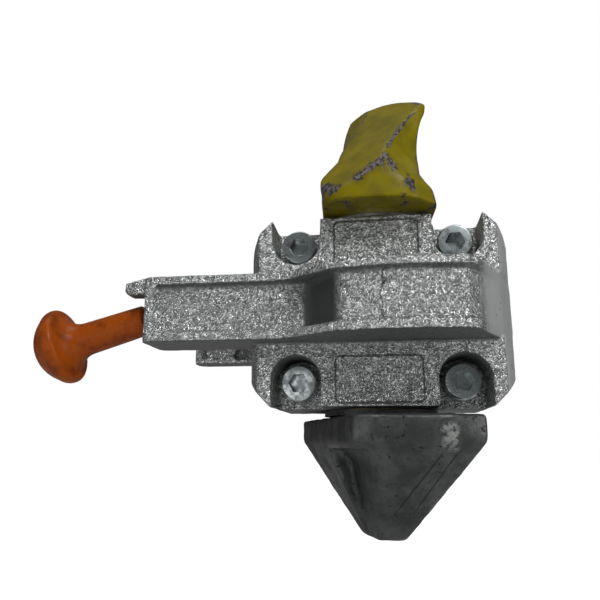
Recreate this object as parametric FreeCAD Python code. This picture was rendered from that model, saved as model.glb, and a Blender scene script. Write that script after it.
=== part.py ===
"""Semi-automatic container twistlock: a split cast housing, a turning shaft with two locking heads,
a spring, and a wire rope with a moulded pull handle.

Frame, in millimetres: the origin is on the shaft axis at the lower seating plane of the flange,
+Z runs up the shaft, +X along the long side of the collars and away from the arm,
and -Y is the side that carries the arm and the screw heads.
"""
import FreeCAD, Part
import math
import os
from collections import namedtuple

Vector = FreeCAD.Vector
Z_AXIS = Vector(0, 0, 1)
ORIGIN = Vector(0, 0, 0)

# ---- driving dimensions -------------------------------------------------------------------
# Collars: the two blocks that sit in the 124.5 x 63.5 mm apertures of the corner fittings
COLLAR_HALF_LENGTH = 60.5
COLLAR_HALF_WIDTH = 29.0
UPPER_COLLAR_HEIGHT = 27.5
LOWER_COLLAR_HEIGHT = 28.5
COLLAR_CHAMFER = 9.0
COLLAR_CHAMFER_INSET = 4.5

# Flange band between the two seating planes
FLANGE_THICKNESS = 30.0
ARM_END_X = -104.0
ARM_FRONT_Y = -37.5
ARM_REAR_Y = -10.0
ARM_SHOULDER_X = -47.0
BULGE_LEFT_X = -20.0
BULGE_LEFT_Y = -53.5
BULGE_CREST_X = 8.0
BULGE_CREST_Y = -58.0
BULGE_RIGHT_X = 38.5
BULGE_RIGHT_Y = -55.0
BULGE_CREST_RADIUS = 90.0
BULGE_CORNER_RADIUS = 8.0
FLANK_X = 53.0
FLANK_Y = -27.0
FLANK_RADIUS = 30.0
FLANK_END_Y = 8.0
FLANK_END_RADIUS = 20.0
S_BEND_RADIUS = 24.0
ARM_CORNER_RADIUS = 2.5
RIM_HEIGHT = 4.6
RECESS_DEPTH = 2.8
RECESS_START_Y = 6.0
ARM_END_RIM = 5.0

# Support leg of the rear half
REAR_FACE_Y = 55.0
LEG_FRONT_Y = 41.0
LEG_WALL = 4.2
LEG_LIP = 2.4
LEG_POCKET_DEPTH = 9.0
LEG_ROOT_X = -61.0
LEG_ROOT_BEVEL = 4.0
LEG_ROOT_DROP = 10.0
LEG_ROOT_RADIUS = 5.0
LEG_RIB_X = -86.0
LEG_RIB_WIDTH = 3.0
LEG_RIB_LEAN = 9.0

# Clamp screws, M10, and their U-shaped pockets
SCREW_X = 36.0
SCREW_Z_OFFSET = 16.8
SCREW_SHANK_RADIUS = 5.0
SCREW_HOLE_RADIUS = 5.5
SCREW_HEAD_RADIUS = 8.0
SCREW_HEAD_HEIGHT = 10.0
SCREW_HEAD_FILLET = 0.8
SCREW_SOCKET_AF = 8.0
SCREW_SOCKET_DEPTH = 5.0
SCREW_LENGTH = 35.0
POCKET_RADIUS = 10.9
POCKET_FLOOR_Y = -7.0
SPRING_WASHER_THICKNESS = 2.2
SPRING_WASHER_SPLIT = 1.2
NUT_AF = 16.0
NUT_HEIGHT = 8.0
NUT_FACE_Y = 17.0
NUT_POCKET_CLEARANCE = 0.3

# Recessed plain panels on the collars' front faces
PANEL_HALF_LENGTH = 18.8
PANEL_DEPTH = 0.9
PANEL_CORNER = 3.0
PANEL_MARGIN = 2.2
LOWER_PANEL_HEIGHT = 20.0

# Shaft, bushes and washers
LOWER_JOURNAL_RADIUS = 19.0
SHAFT_FLANGE_RADIUS = 21.4
SHAFT_FLANGE_THICKNESS = 4.0
SHAFT_RADIUS = 17.0
SHAFT_FLAT_HALF_WIDTH = 14.5
SPIGOT_RADIUS = 15.0
SPIGOT_LENGTH = 20.0
SPIGOT_SHOULDER_GAP = 0.1
RUNNING_CLEARANCE = 0.05
SEAT_CLEARANCE = 0.02
LOWER_BUSH_WALL = 4.0
LOWER_BUSH_LENGTH = 22.0
UPPER_BUSH_WALL = 3.0
UPPER_BUSH_LENGTH = 9.0
UPPER_BUSH_LEDGE = 1.0
TOP_WASHER_RADIUS = 28.0
TOP_WASHER_THICKNESS = 1.5
LOWER_WASHER_RADIUS = 26.0
LOWER_WASHER_THICKNESS = 2.4
END_PLAY = 0.2

# Rope drum, rope and spring
ROPE_RADIUS = 2.5
ROPE_LEVEL = 16.0
ROPE_LAY_RADIUS = 22.0
ROPE_WRAP_ANGLE = 190.0
ROPE_END_GAP = 0.2
DRUM_RADIUS = 26.3
DRUM_GROOVE_HALF = 3.2
DRUM_BOTTOM_WEB = 7.6
DRUM_TOP_WEB = 4.6
CHAMBER_RADIUS = 28.0
CHAMBER_FLOOR_Z = 0.8
CHAMBER_HEADROOM = 1.2
ROPE_CHANNEL_RADIUS = 4.5
NIPPLE_RADIUS = 4.0
NIPPLE_HEIGHT = 8.0
SPRING_COIL_RADIUS = 21.8
SPRING_WIRE_RADIUS = 1.8
SPRING_PITCH = 4.1
SPRING_HALF_TURNS = 9
SPRING_START_ANGLE = -56.0
SPRING_BEND_RADIUS = 3.0
SPRING_LOWER_LEG = 1.4
SPRING_UPPER_LEG = 5.0
SPRING_END_GAP = 1.2
SPRING_SLOT_CLEARANCE = 0.25
SPRING_CHAMBER_RADIUS = 25.0
LOCK_TURN = 110.0
STOP_PIN_RADIUS = 2.5
STOP_PIN_ORBIT = 24.2
STOP_PIN_LENGTH = 14.0
STOP_PIN_SEAT = 5.5
STOP_CLEARANCE = 0.15

# Dowels between the halves
DOWEL_RADIUS = 3.0
DOWEL_LENGTH = 18.0
DOWEL_X = 46.0

# Arm mouth, rope guide and handle
MOUTH_Y = -22.0
MOUTH_RADIUS = 9.5
MOUTH_DEPTH = 7.0
GUIDE_RADIUS = 6.5
GUIDE_BORE = 3.2
GUIDE_LENGTH = 6.0
GUIDE_LIP_RADIUS = 2.0
HANDLE_TILT = 16.5
HANDLE_PIVOT_INSET = 6.0
HANDLE_STEM_START = 9.0
HANDLE_STEM_RADIUS = 7.0
HANDLE_CHAMFER = 1.5
HANDLE_NECK_RADIUS = 7.6
HANDLE_NECK_END = 38.5
HANDLE_NECK_SAG = 1.5
HANDLE_DISC_RADIUS = 17.8
HANDLE_RIM_RADIUS = 2.8
HANDLE_EDGE_RADIUS = 4.5
HANDLE_EDGE_DROP = 2.0
HANDLE_EDGE_SAG = 0.45
HANDLE_DISC_AT = 51.5
HANDLE_LENGTH = 64.5
FERRULE_RADIUS = 4.5
FERRULE_LENGTH = 14.0
FERRULE_AT = 36.0
FERRULE_CAP = 1.0
LUG_LENGTH = 10.2
LUG_WIDTH = 8.0
LUG_HEIGHT = 8.0
LUG_NOSE_HEIGHT = 6.0
LUG_NOSE_BEVEL = 1.8
LUG_SHOULDER = 2.5
LUG_ROOT = 2.0
LUG_SET_BACK = 3.0

# Upper locking head: a plank that narrows and twists as it rises, trimmed by a gable roof.
# Rises are counted from its underside, reaches from the shaft axis.
CONE_GAP = 1.7
HEAD_HEIGHT = 68.0
HEAD_HALF_LENGTH = 46.0
HEAD_TURN = 4.0
HEAD_CORNER_REACH = 43.5
HEAD_ROOF_RISE = 1.321
HEAD_ROOF_ANGLE = 61.0
HEAD_CREST_ANGLE = -45.0
Station = namedtuple("Station", "rise half_width twist")
HEAD_PLANK = [
    Station(0.0, 25.6, HEAD_TURN),
    Station(8.0, 24.6, 1.5),
    Station(16.0, 22.5, -3.0),
    Station(27.0, 18.6, 3.0),
    Station(36.0, 17.2, 8.0),
    Station(46.0, 14.1, 19.0),
    Station(55.0, 9.3, 33.0),
    Station(63.0, 4.3, 42.0),
    Station(HEAD_HEIGHT, 1.0, 45.0),
]
Reach = namedtuple("Reach", "rise reach")
HEAD_CREST = [
    Reach(0.0, 42.8),
    Reach(7.0, 42.6),
    Reach(15.0, 38.5),
    Reach(25.0, 33.0),
    Reach(33.0, 31.8),
    Reach(41.0, 31.8),
    Reach(50.0, 34.0),
    Reach(54.6, 33.6),
    Reach(61.6, 23.0),
    Reach(67.5, 7.0),
]
HEAD_END_TRIM = [
    Reach(0.0, 60.0),
    Reach(11.0, 41.0),
    Reach(18.0, 27.5),
    Reach(26.0, 18.8),
    Reach(33.0, 16.9),
    Reach(49.0, 16.2),
    Reach(61.0, 13.5),
    Reach(HEAD_HEIGHT, 11.0),
]
CONE_PIN_RADIUS = 5.0
CONE_PIN_RISE = 11.0
CONE_PIN_HALF_LENGTH = 22.0

# Lower locking head: six-sided rim, long sides turned from the Y axis, and a blunt tip
LOWER_CONE_DROP = 31.4
LOWER_CONE_TURN = 19.4
LOWER_CONE_HALF_WIDTH = 26.3
LOWER_CONE_SHORT_REACH = 41.6
LOWER_CONE_LONG_REACH = 55.0
LOWER_CONE_NOSE_SHIFT = 9.5
LOWER_CONE_NOSE_DROP = 1.8
LOWER_CONE_CORNER = 2.5
LOWER_CONE_TIP_CORNER = 1.2
LOWER_CONE_RIM = 11.0
LOWER_CONE_HEIGHT = 52.6
LOWER_CONE_TIP_SCALE = 0.24
LOWER_CONE_SCOOP = 12.8
LOWER_CONE_LEDGE = 3.0
LOWER_CONE_LEDGE_BEVEL = 5.0
LOWER_CONE_SCOOP_END = 4.0

# Clearances and tool sizes
FIT_CLEARANCE = 0.5
TOOL_OVERSHOOT = 1.0
FAR = 160.0

# ---- derived levels -----------------------------------------------------------------------
UPPER_SEAT_Z = FLANGE_THICKNESS
UPPER_TOP_Z = UPPER_SEAT_Z + UPPER_COLLAR_HEIGHT
LOWER_BOTTOM_Z = -LOWER_COLLAR_HEIGHT
UPPER_SCREW_Z = UPPER_SEAT_Z + SCREW_Z_OFFSET
LOWER_SCREW_Z = -SCREW_Z_OFFSET
LOWER_BORE_RADIUS = LOWER_JOURNAL_RADIUS + RUNNING_CLEARANCE + LOWER_BUSH_WALL
UPPER_BORE_RADIUS = SHAFT_RADIUS + RUNNING_CLEARANCE + UPPER_BUSH_WALL
LOWER_BUSH_TOP_Z = LOWER_BOTTOM_Z + LOWER_BUSH_LENGTH
UPPER_BUSH_BOTTOM_Z = UPPER_TOP_Z - UPPER_BUSH_LENGTH
SHAFT_FLANGE_BOTTOM_Z = CHAMBER_FLOOR_Z + END_PLAY
SHAFT_FLANGE_TOP_Z = SHAFT_FLANGE_BOTTOM_Z + SHAFT_FLANGE_THICKNESS
DRUM_BOTTOM_Z = ROPE_LEVEL - DRUM_GROOVE_HALF - DRUM_BOTTOM_WEB
DRUM_TOP_Z = ROPE_LEVEL + DRUM_GROOVE_HALF + DRUM_TOP_WEB
CHAMBER_TOP_Z = DRUM_TOP_Z + CHAMBER_HEADROOM
SPRING_BOTTOM_Z = DRUM_TOP_Z + SPRING_WIRE_RADIUS + SPRING_END_GAP
SPRING_TOP_Z = SPRING_BOTTOM_Z + SPRING_PITCH / 2 * SPRING_HALF_TURNS
TOP_WASHER_Z = UPPER_TOP_Z + END_PLAY / 2
CONE_BOTTOM_Z = UPPER_TOP_Z + CONE_GAP
CONE_PIN_Z = CONE_BOTTOM_Z + CONE_PIN_RISE
LOWER_CONE_TOP_Z = -LOWER_CONE_DROP
GUIDE_START_X = ARM_END_X + MOUTH_DEPTH
GUIDE_END_X = GUIDE_START_X + GUIDE_LENGTH
HANDLE_PIVOT = Vector(ARM_END_X + HANDLE_PIVOT_INSET, MOUTH_Y, ROPE_LEVEL)
GROOVE_FLOOR_RADIUS = ROPE_LAY_RADIUS - ROPE_RADIUS


# ---- geometry helpers ---------------------------------------------------------------------
def rounded_outline(points, radii, z=0.0):
    """Closed wire through the points, each corner replaced by a tangent arc of its radius."""
    count = len(points)
    starts, middles, ends = [], [], []
    for i in range(count):
        corner = Vector(points[i][0], points[i][1], z)
        before = Vector(points[i - 1][0], points[i - 1][1], z) - corner
        after = Vector(points[(i + 1) % count][0], points[(i + 1) % count][1], z) - corner
        before.normalize()
        after.normalize()
        half = before.getAngle(after) / 2
        if radii[i] <= 0 or half > math.radians(89.5):
            starts.append(corner)
            middles.append(None)
            ends.append(corner)
            continue
        reach = radii[i] / math.tan(half)
        bisector = (before + after).normalize()
        centre = corner + bisector * (radii[i] / math.sin(half))
        starts.append(corner + before * reach)
        middles.append(centre - bisector * radii[i])
        ends.append(corner + after * reach)
    edges = []
    for i in range(count):
        if middles[i] is not None:
            edges.append(Part.Arc(starts[i], middles[i], ends[i]).toShape())
        following = starts[(i + 1) % count]
        if ends[i].distanceToPoint(following) > 1e-4:
            edges.append(Part.LineSegment(ends[i], following).toShape())
    return Part.Wire(edges)


def block(x_low, x_high, y_low, y_high, z_low, z_high):
    """Axis-aligned block between the given faces."""
    corner = Vector(x_low, y_low, z_low)
    return Part.makeBox(x_high - x_low, y_high - y_low, z_high - z_low, corner)


def rod(radius, start, end):
    """Round bar between two points."""
    along = end - start
    return Part.makeCylinder(radius, along.Length, start, along)


def tube(outer, inner, z_low, z_high):
    """Ring about the shaft axis."""
    ring = Part.makeCylinder(outer, z_high - z_low, Vector(0, 0, z_low))
    return ring.cut(Part.makeCylinder(inner, z_high - z_low, Vector(0, 0, z_low)))


def hexagon_bar(across_flats, y_low, y_high, x, z):
    """Hexagonal bar along Y with its centre at x, z."""
    corner_radius = across_flats / 2 / math.cos(math.pi / 6)
    corners = []
    for i in range(7):
        angle = math.radians(60 * i)
        corner_x = x + corner_radius * math.cos(angle)
        corner_z = z + corner_radius * math.sin(angle)
        corners.append(Vector(corner_x, y_low, corner_z))
    face = Part.Face(Part.makePolygon(corners))
    return face.extrude(Vector(0, y_high - y_low, 0))


def screw_places():
    """Centres of the four clamp screws as (x, z, opening direction of the pocket)."""
    places = []
    for x in (-SCREW_X, SCREW_X):
        places.append((x, UPPER_SCREW_Z, 1))
        places.append((x, LOWER_SCREW_Z, -1))
    return places


def fuse_all(shapes):
    """One solid from overlapping shapes, with coplanar faces merged."""
    return shapes[0].multiFuse(shapes[1:]).removeSplitter()


# ---- housing ------------------------------------------------------------------------------
Corner = namedtuple("Corner", "x y radius")
FRONT_FLANGE = [
    Corner(ARM_END_X, ARM_REAR_Y, ARM_CORNER_RADIUS),
    Corner(ARM_END_X, ARM_FRONT_Y, ARM_CORNER_RADIUS),
    Corner(ARM_SHOULDER_X, ARM_FRONT_Y, S_BEND_RADIUS),
    Corner(BULGE_LEFT_X, BULGE_LEFT_Y, S_BEND_RADIUS),
    Corner(BULGE_CREST_X, BULGE_CREST_Y, BULGE_CREST_RADIUS),
    Corner(BULGE_RIGHT_X, BULGE_RIGHT_Y, BULGE_CORNER_RADIUS),
    Corner(FLANK_X, FLANK_Y, FLANK_RADIUS),
    Corner(COLLAR_HALF_LENGTH, -FLANK_END_Y, FLANK_END_RADIUS),
    Corner(COLLAR_HALF_LENGTH, 0.0, 0.0),
    Corner(-COLLAR_HALF_LENGTH, 0.0, 0.0),
    Corner(-COLLAR_HALF_LENGTH, ARM_REAR_Y, ARM_CORNER_RADIUS),
]
REAR_FLANGE = [
    Corner(-COLLAR_HALF_LENGTH, 0.0, 0.0),
    Corner(COLLAR_HALF_LENGTH, 0.0, 0.0),
    Corner(COLLAR_HALF_LENGTH, FLANK_END_Y, FLANK_END_RADIUS),
    Corner(FLANK_X, -FLANK_Y, FLANK_RADIUS),
    Corner(BULGE_RIGHT_X, REAR_FACE_Y, BULGE_CORNER_RADIUS),
    Corner(ARM_END_X, REAR_FACE_Y, ARM_CORNER_RADIUS),
    Corner(ARM_END_X, LEG_FRONT_Y, ARM_CORNER_RADIUS),
    Corner(LEG_ROOT_X - LEG_ROOT_BEVEL, LEG_FRONT_Y, LEG_ROOT_RADIUS),
    Corner(LEG_ROOT_X, LEG_FRONT_Y - LEG_ROOT_DROP, LEG_ROOT_RADIUS),
]


def flange_face(corners):
    """Plan of a flange half at the lower seating plane."""
    points = [(corner.x, corner.y) for corner in corners]
    radii = [corner.radius for corner in corners]
    return Part.Face(rounded_outline(points, radii))


def collar(z_low, z_high, chamfer_at_top):
    """Collar block: a disc trimmed to its width, with its two end corners chamfered."""
    height = z_high - z_low
    body = Part.makeCylinder(COLLAR_HALF_LENGTH, height, Vector(0, 0, z_low))
    strip = block(-FAR, FAR, -COLLAR_HALF_WIDTH, COLLAR_HALF_WIDTH, z_low, z_high)
    body = body.common(strip)
    tip_z = z_high if chamfer_at_top else z_low
    inward = -1 if chamfer_at_top else 1
    inner_x = COLLAR_HALF_LENGTH - COLLAR_CHAMFER_INSET - COLLAR_CHAMFER
    leg = COLLAR_HALF_LENGTH - inner_x + TOOL_OVERSHOOT
    for side in (-1, 1):
        wedge = Part.makePolygon([
            Vector(side * inner_x, -COLLAR_HALF_WIDTH, tip_z),
            Vector(side * (inner_x + leg), -COLLAR_HALF_WIDTH, tip_z),
            Vector(side * (inner_x + leg), -COLLAR_HALF_WIDTH, tip_z + inward * leg),
            Vector(side * inner_x, -COLLAR_HALF_WIDTH, tip_z),
        ])
        body = body.cut(Part.Face(wedge).extrude(Vector(0, 2 * COLLAR_HALF_WIDTH, 0)))
    return body


def screw_pocket(x, z, direction):
    """U-shaped pocket that is open to the front and towards the collar's free end."""
    front_y = -COLLAR_HALF_WIDTH - TOOL_OVERSHOOT
    round_end = rod(POCKET_RADIUS, Vector(x, front_y, z), Vector(x, POCKET_FLOOR_Y, z))
    z_low, z_high = sorted((z, z + direction * UPPER_COLLAR_HEIGHT))
    slot = block(x - POCKET_RADIUS, x + POCKET_RADIUS, front_y, POCKET_FLOOR_Y, z_low, z_high)
    return round_end.fuse(slot)


def shaft_cavity():
    """Everything that turns inside the housing: bush seats, drum chamber and spring chamber."""
    top = UPPER_TOP_Z + TOOL_OVERSHOOT
    bottom = LOWER_BOTTOM_Z - TOOL_OVERSHOOT
    profile = [
        (0, bottom),
        (LOWER_BORE_RADIUS, bottom),
        (LOWER_BORE_RADIUS, LOWER_BUSH_TOP_Z),
        (LOWER_JOURNAL_RADIUS + FIT_CLEARANCE, LOWER_BUSH_TOP_Z),
        (LOWER_JOURNAL_RADIUS + FIT_CLEARANCE, CHAMBER_FLOOR_Z),
        (CHAMBER_RADIUS, CHAMBER_FLOOR_Z),
        (CHAMBER_RADIUS, CHAMBER_TOP_Z),
        (SPRING_CHAMBER_RADIUS, CHAMBER_TOP_Z),
        (SPRING_CHAMBER_RADIUS, UPPER_BUSH_BOTTOM_Z - UPPER_BUSH_LEDGE),
        (SHAFT_RADIUS + FIT_CLEARANCE, UPPER_BUSH_BOTTOM_Z - UPPER_BUSH_LEDGE),
        (SHAFT_RADIUS + FIT_CLEARANCE, UPPER_BUSH_BOTTOM_Z),
        (UPPER_BORE_RADIUS, UPPER_BUSH_BOTTOM_Z),
        (UPPER_BORE_RADIUS, top),
        (0, top),
    ]
    points = [Vector(radius, 0, z) for radius, z in profile]
    face = Part.Face(Part.makePolygon(points + [points[0]]))
    return face.revolve(ORIGIN, Z_AXIS, 360)


def housing_blank(flange):
    """Flange with both collars, bored for the shaft."""
    body = fuse_all([
        flange,
        collar(UPPER_SEAT_Z - TOOL_OVERSHOOT, UPPER_TOP_Z, True),
        collar(LOWER_BOTTOM_Z, TOOL_OVERSHOOT, False),
    ])
    return body.cut(shaft_cavity())


def half_space(side):
    """Large block on the front (-1) or rear (+1) side of the parting plane."""
    y_low, y_high = sorted((0, side * FAR))
    return block(-FAR, FAR, y_low, y_high, -FAR, FAR)


def band_recess(plan, side):
    """Recess between the upper and lower rims, of even depth along the flange's outline."""
    ring = plan.cut(plan.makeOffset2D(-RECESS_DEPTH)).extrude(Vector(0, 0, FLANGE_THICKNESS))
    y_low, y_high = sorted((side * RECESS_START_Y, side * FAR))
    return ring.common(block(ARM_END_X + ARM_END_RIM, COLLAR_HALF_LENGTH - RECESS_DEPTH,
                             y_low, y_high, RIM_HEIGHT, FLANGE_THICKNESS - RIM_HEIGHT))


def label_panel(z_low, z_high):
    """Shallow rounded recess in the middle of a collar's front face."""
    points = [
        (-PANEL_HALF_LENGTH, z_low),
        (PANEL_HALF_LENGTH, z_low),
        (PANEL_HALF_LENGTH, z_high),
        (-PANEL_HALF_LENGTH, z_high),
    ]
    face = Part.Face(rounded_outline(points, [PANEL_CORNER] * 4))
    panel = face.extrude(Vector(0, 0, PANEL_DEPTH + TOOL_OVERSHOOT))
    panel.rotate(ORIGIN, Vector(1, 0, 0), 90)
    panel.translate(Vector(0, -COLLAR_HALF_WIDTH + PANEL_DEPTH, 0))
    return panel


def hold_open_lug():
    """Cast nose on the arm's end, over which the pulled rope can be hooked."""
    z_top = FLANGE_THICKNESS
    z_low = z_top - LUG_HEIGHT
    nose_x = ARM_END_X - LUG_LENGTH
    profile = [
        Vector(ARM_END_X + LUG_ROOT, 0, z_low),
        Vector(ARM_END_X + LUG_ROOT, 0, z_top),
        Vector(ARM_END_X - LUG_SHOULDER, 0, z_top),
        Vector(nose_x, 0, z_low + LUG_NOSE_HEIGHT),
        Vector(nose_x, 0, z_low + LUG_NOSE_BEVEL),
        Vector(nose_x + LUG_NOSE_BEVEL, 0, z_low),
    ]
    face = Part.Face(Part.makePolygon(profile + [profile[0]]))
    lug = face.extrude(Vector(0, LUG_WIDTH, 0))
    lug.translate(Vector(0, ARM_FRONT_Y + LUG_SET_BACK, 0))
    return lug


def rope_passage():
    """Rope channel, guide seat and handle mouth in the arm."""
    ends = [ARM_END_X - TOOL_OVERSHOOT, GUIDE_START_X, GUIDE_END_X, 0]
    mouth_end, guide_start, guide_end, inner_end = [Vector(x, MOUTH_Y, ROPE_LEVEL) for x in ends]
    return [
        rod(ROPE_CHANNEL_RADIUS, guide_start, inner_end),
        rod(GUIDE_RADIUS, guide_start, guide_end),
        rod(MOUTH_RADIUS, mouth_end, guide_start),
    ]


def dowel_holes():
    """Holes for the two dowels across the parting plane."""
    holes = []
    for side in (-1, 1):
        reach = DOWEL_LENGTH / 2 + FIT_CLEARANCE
        centre = Vector(side * DOWEL_X, -reach, FLANGE_THICKNESS / 2)
        holes.append(rod(DOWEL_RADIUS + SEAT_CLEARANCE, centre, centre + Vector(0, 2 * reach, 0)))
    return holes


def housing_front():
    """Front half: arm, recessed band, screw pockets and collar panels."""
    plan = flange_face(FRONT_FLANGE)
    body = housing_blank(plan.extrude(Vector(0, 0, FLANGE_THICKNESS)))
    cuts = [band_recess(plan, -1)]
    for x, z, direction in screw_places():
        cuts.append(screw_pocket(x, z, direction))
        cuts.append(rod(SCREW_HOLE_RADIUS, Vector(x, POCKET_FLOOR_Y - TOOL_OVERSHOOT, z),
                        Vector(x, TOOL_OVERSHOOT, z)))
    cuts.append(label_panel(UPPER_SEAT_Z, UPPER_TOP_Z - PANEL_MARGIN))
    lower_panel_top = LOWER_BOTTOM_Z + PANEL_MARGIN + LOWER_PANEL_HEIGHT
    cuts.append(label_panel(LOWER_BOTTOM_Z + PANEL_MARGIN, lower_panel_top))
    cuts.extend(rope_passage())
    cuts.extend(dowel_holes())
    body = body.common(half_space(-1)).cut(cuts)
    return fuse_all([body, hold_open_lug().cut(rope_passage()[2])])


def support_leg_pockets():
    """Two cored pockets in the leg's front face, parted by a slanting rib."""
    z_low = LEG_LIP
    z_high = FLANGE_THICKNESS - LEG_LIP
    x_low = ARM_END_X + LEG_WALL
    x_high = LEG_ROOT_X - LEG_ROOT_BEVEL - LEG_WALL
    y_low = LEG_FRONT_Y - TOOL_OVERSHOOT
    y_high = LEG_FRONT_Y + LEG_POCKET_DEPTH
    pocket = block(x_low, x_high, y_low, y_high, z_low, z_high)
    rib = Part.makePolygon([
        Vector(LEG_RIB_X, y_low, 0),
        Vector(LEG_RIB_X + LEG_RIB_WIDTH, y_low, 0),
        Vector(LEG_RIB_X + LEG_RIB_LEAN + LEG_RIB_WIDTH, y_low, FLANGE_THICKNESS),
        Vector(LEG_RIB_X + LEG_RIB_LEAN, y_low, FLANGE_THICKNESS),
        Vector(LEG_RIB_X, y_low, 0),
    ])
    return pocket.cut(Part.Face(rib).extrude(Vector(0, y_high - y_low, 0)))


def spring_leg_slot():
    """Slot in the rear half that holds the spring's upper leg."""
    half = SPRING_WIRE_RADIUS + SPRING_SLOT_CLEARANCE
    reach = SPRING_COIL_RADIUS + SPRING_BEND_RADIUS + SPRING_UPPER_LEG + FIT_CLEARANCE
    slot = block(SPRING_COIL_RADIUS, reach, SPRING_BEND_RADIUS - half, SPRING_BEND_RADIUS + half,
                 SPRING_TOP_Z - half, SPRING_TOP_Z + half)
    slot.rotate(ORIGIN, Z_AXIS, spring_end_angle())
    return slot


def housing_rear():
    """Rear half: straight back, support leg, nut pockets and spring slot."""
    plan = flange_face(REAR_FLANGE)
    body = housing_blank(plan.extrude(Vector(0, 0, FLANGE_THICKNESS)))
    cuts = [band_recess(plan, 1)]
    nut_width = NUT_AF + 2 * NUT_POCKET_CLEARANCE
    for x, z, _ in screw_places():
        cuts.append(rod(SCREW_HOLE_RADIUS, Vector(x, -TOOL_OVERSHOOT, z),
                        Vector(x, NUT_FACE_Y + TOOL_OVERSHOOT, z)))
        cuts.append(hexagon_bar(nut_width, NUT_FACE_Y, COLLAR_HALF_WIDTH + TOOL_OVERSHOOT, x, z))
    cuts.append(support_leg_pockets())
    cuts.append(spring_leg_slot())
    pin_base = Vector(0, STOP_PIN_ORBIT, CHAMBER_FLOOR_Z - STOP_PIN_SEAT)
    pin_top = pin_base + Vector(0, 0, STOP_PIN_LENGTH)
    cuts.append(rod(STOP_PIN_RADIUS + SEAT_CLEARANCE, pin_base, pin_top))
    cuts.extend(dowel_holes())
    return body.common(half_space(1)).cut(cuts)


# ---- fasteners ----------------------------------------------------------------------------
def clamp_screws():
    """Four socket-head screws, heads at the front."""
    screws = []
    seat_y = POCKET_FLOOR_Y - SPRING_WASHER_THICKNESS
    face_y = seat_y - SCREW_HEAD_HEIGHT
    for x, z, _ in screw_places():
        head = rod(SCREW_HEAD_RADIUS, Vector(x, face_y, z), Vector(x, seat_y, z))
        rim = min(head.Edges, key=lambda edge: edge.CenterOfMass.y)
        head = head.makeFillet(SCREW_HEAD_FILLET, [rim])
        shank = rod(SCREW_SHANK_RADIUS, Vector(x, face_y + SCREW_SOCKET_DEPTH, z),
                    Vector(x, seat_y + SCREW_LENGTH, z))
        socket = hexagon_bar(SCREW_SOCKET_AF, face_y - TOOL_OVERSHOOT, face_y + SCREW_SOCKET_DEPTH, x, z)
        screws.append(fuse_all([head, shank]).cut(socket))
    return Part.makeCompound(screws)


def spring_washers():
    """Split spring washers under the screw heads."""
    washers = []
    for x, z, _ in screw_places():
        start = Vector(x, POCKET_FLOOR_Y - SPRING_WASHER_THICKNESS, z)
        end = Vector(x, POCKET_FLOOR_Y, z)
        ring = rod(SCREW_HEAD_RADIUS, start, end).cut(rod(SCREW_SHANK_RADIUS + SEAT_CLEARANCE, start, end))
        split = block(x - SPRING_WASHER_SPLIT / 2, x + SPRING_WASHER_SPLIT / 2, start.y, end.y,
                      z, z + SCREW_HEAD_RADIUS)
        washers.append(ring.cut(split))
    return Part.makeCompound(washers)


def clamp_nuts():
    """Hexagon nuts in the rear pockets."""
    nuts = []
    for x, z, _ in screw_places():
        nut = hexagon_bar(NUT_AF, NUT_FACE_Y, NUT_FACE_Y + NUT_HEIGHT, x, z)
        bore = rod(SCREW_SHANK_RADIUS + SEAT_CLEARANCE, Vector(x, NUT_FACE_Y, z),
                   Vector(x, NUT_FACE_Y + NUT_HEIGHT, z))
        nuts.append(nut.cut(bore))
    return Part.makeCompound(nuts)


def dowel_pins():
    """Two dowels across the parting plane."""
    pins = []
    for side in (-1, 1):
        start = Vector(side * DOWEL_X, -DOWEL_LENGTH / 2, FLANGE_THICKNESS / 2)
        pins.append(rod(DOWEL_RADIUS, start, start + Vector(0, DOWEL_LENGTH, 0)))
    return Part.makeCompound(pins)


def stop_pin():
    """Upright pin in the drum's slot."""
    base = Vector(0, STOP_PIN_ORBIT, CHAMBER_FLOOR_Z - STOP_PIN_SEAT)
    return rod(STOP_PIN_RADIUS, base, base + Vector(0, 0, STOP_PIN_LENGTH))


# ---- upper locking head -------------------------------------------------------------------
def plank_section(station):
    """Long rectangle at the station's height, turned by its twist towards +X."""
    width, length = station.half_width, HEAD_HALF_LENGTH + CONE_PIN_RISE
    z = CONE_BOTTOM_Z + station.rise
    points = [Vector(-width, -length, z), Vector(width, -length, z), Vector(width, length, z)]
    points.append(Vector(-width, length, z))
    section = Part.makePolygon(points + [points[0]])
    section.rotate(ORIGIN, Z_AXIS, station.twist)
    return section


def reach_curve(reaches, side):
    """Smooth curve through the reaches, on one side of the shaft axis."""
    points = [Vector(side * reach.reach, -FAR, CONE_BOTTOM_Z + reach.rise) for reach in reaches]
    curve = Part.BSplineCurve()
    curve.interpolate(points)
    return curve.toShape(), points[0], points[-1]


def profile_prism(left, right, angle):
    """Prism along Y between two curves, turned about the shaft axis."""
    left_edge, left_low, left_high = left
    right_edge, right_low, right_high = right
    top = Part.makeLine(left_high, right_high)
    bottom = Part.makeLine(right_low, left_low)
    prism = Part.Face(Part.Wire([left_edge, top, right_edge, bottom])).extrude(Vector(0, 2 * FAR, 0))
    prism.rotate(ORIGIN, Z_AXIS, angle)
    return prism


def turned_block(half_x, half_y, angle):
    """Block about the shaft axis from the head's underside up, turned by an angle."""
    body = block(-half_x, half_x, -half_y, half_y, CONE_BOTTOM_Z, CONE_BOTTOM_Z + HEAD_HEIGHT)
    body.rotate(ORIGIN, Z_AXIS, angle)
    return body


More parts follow.
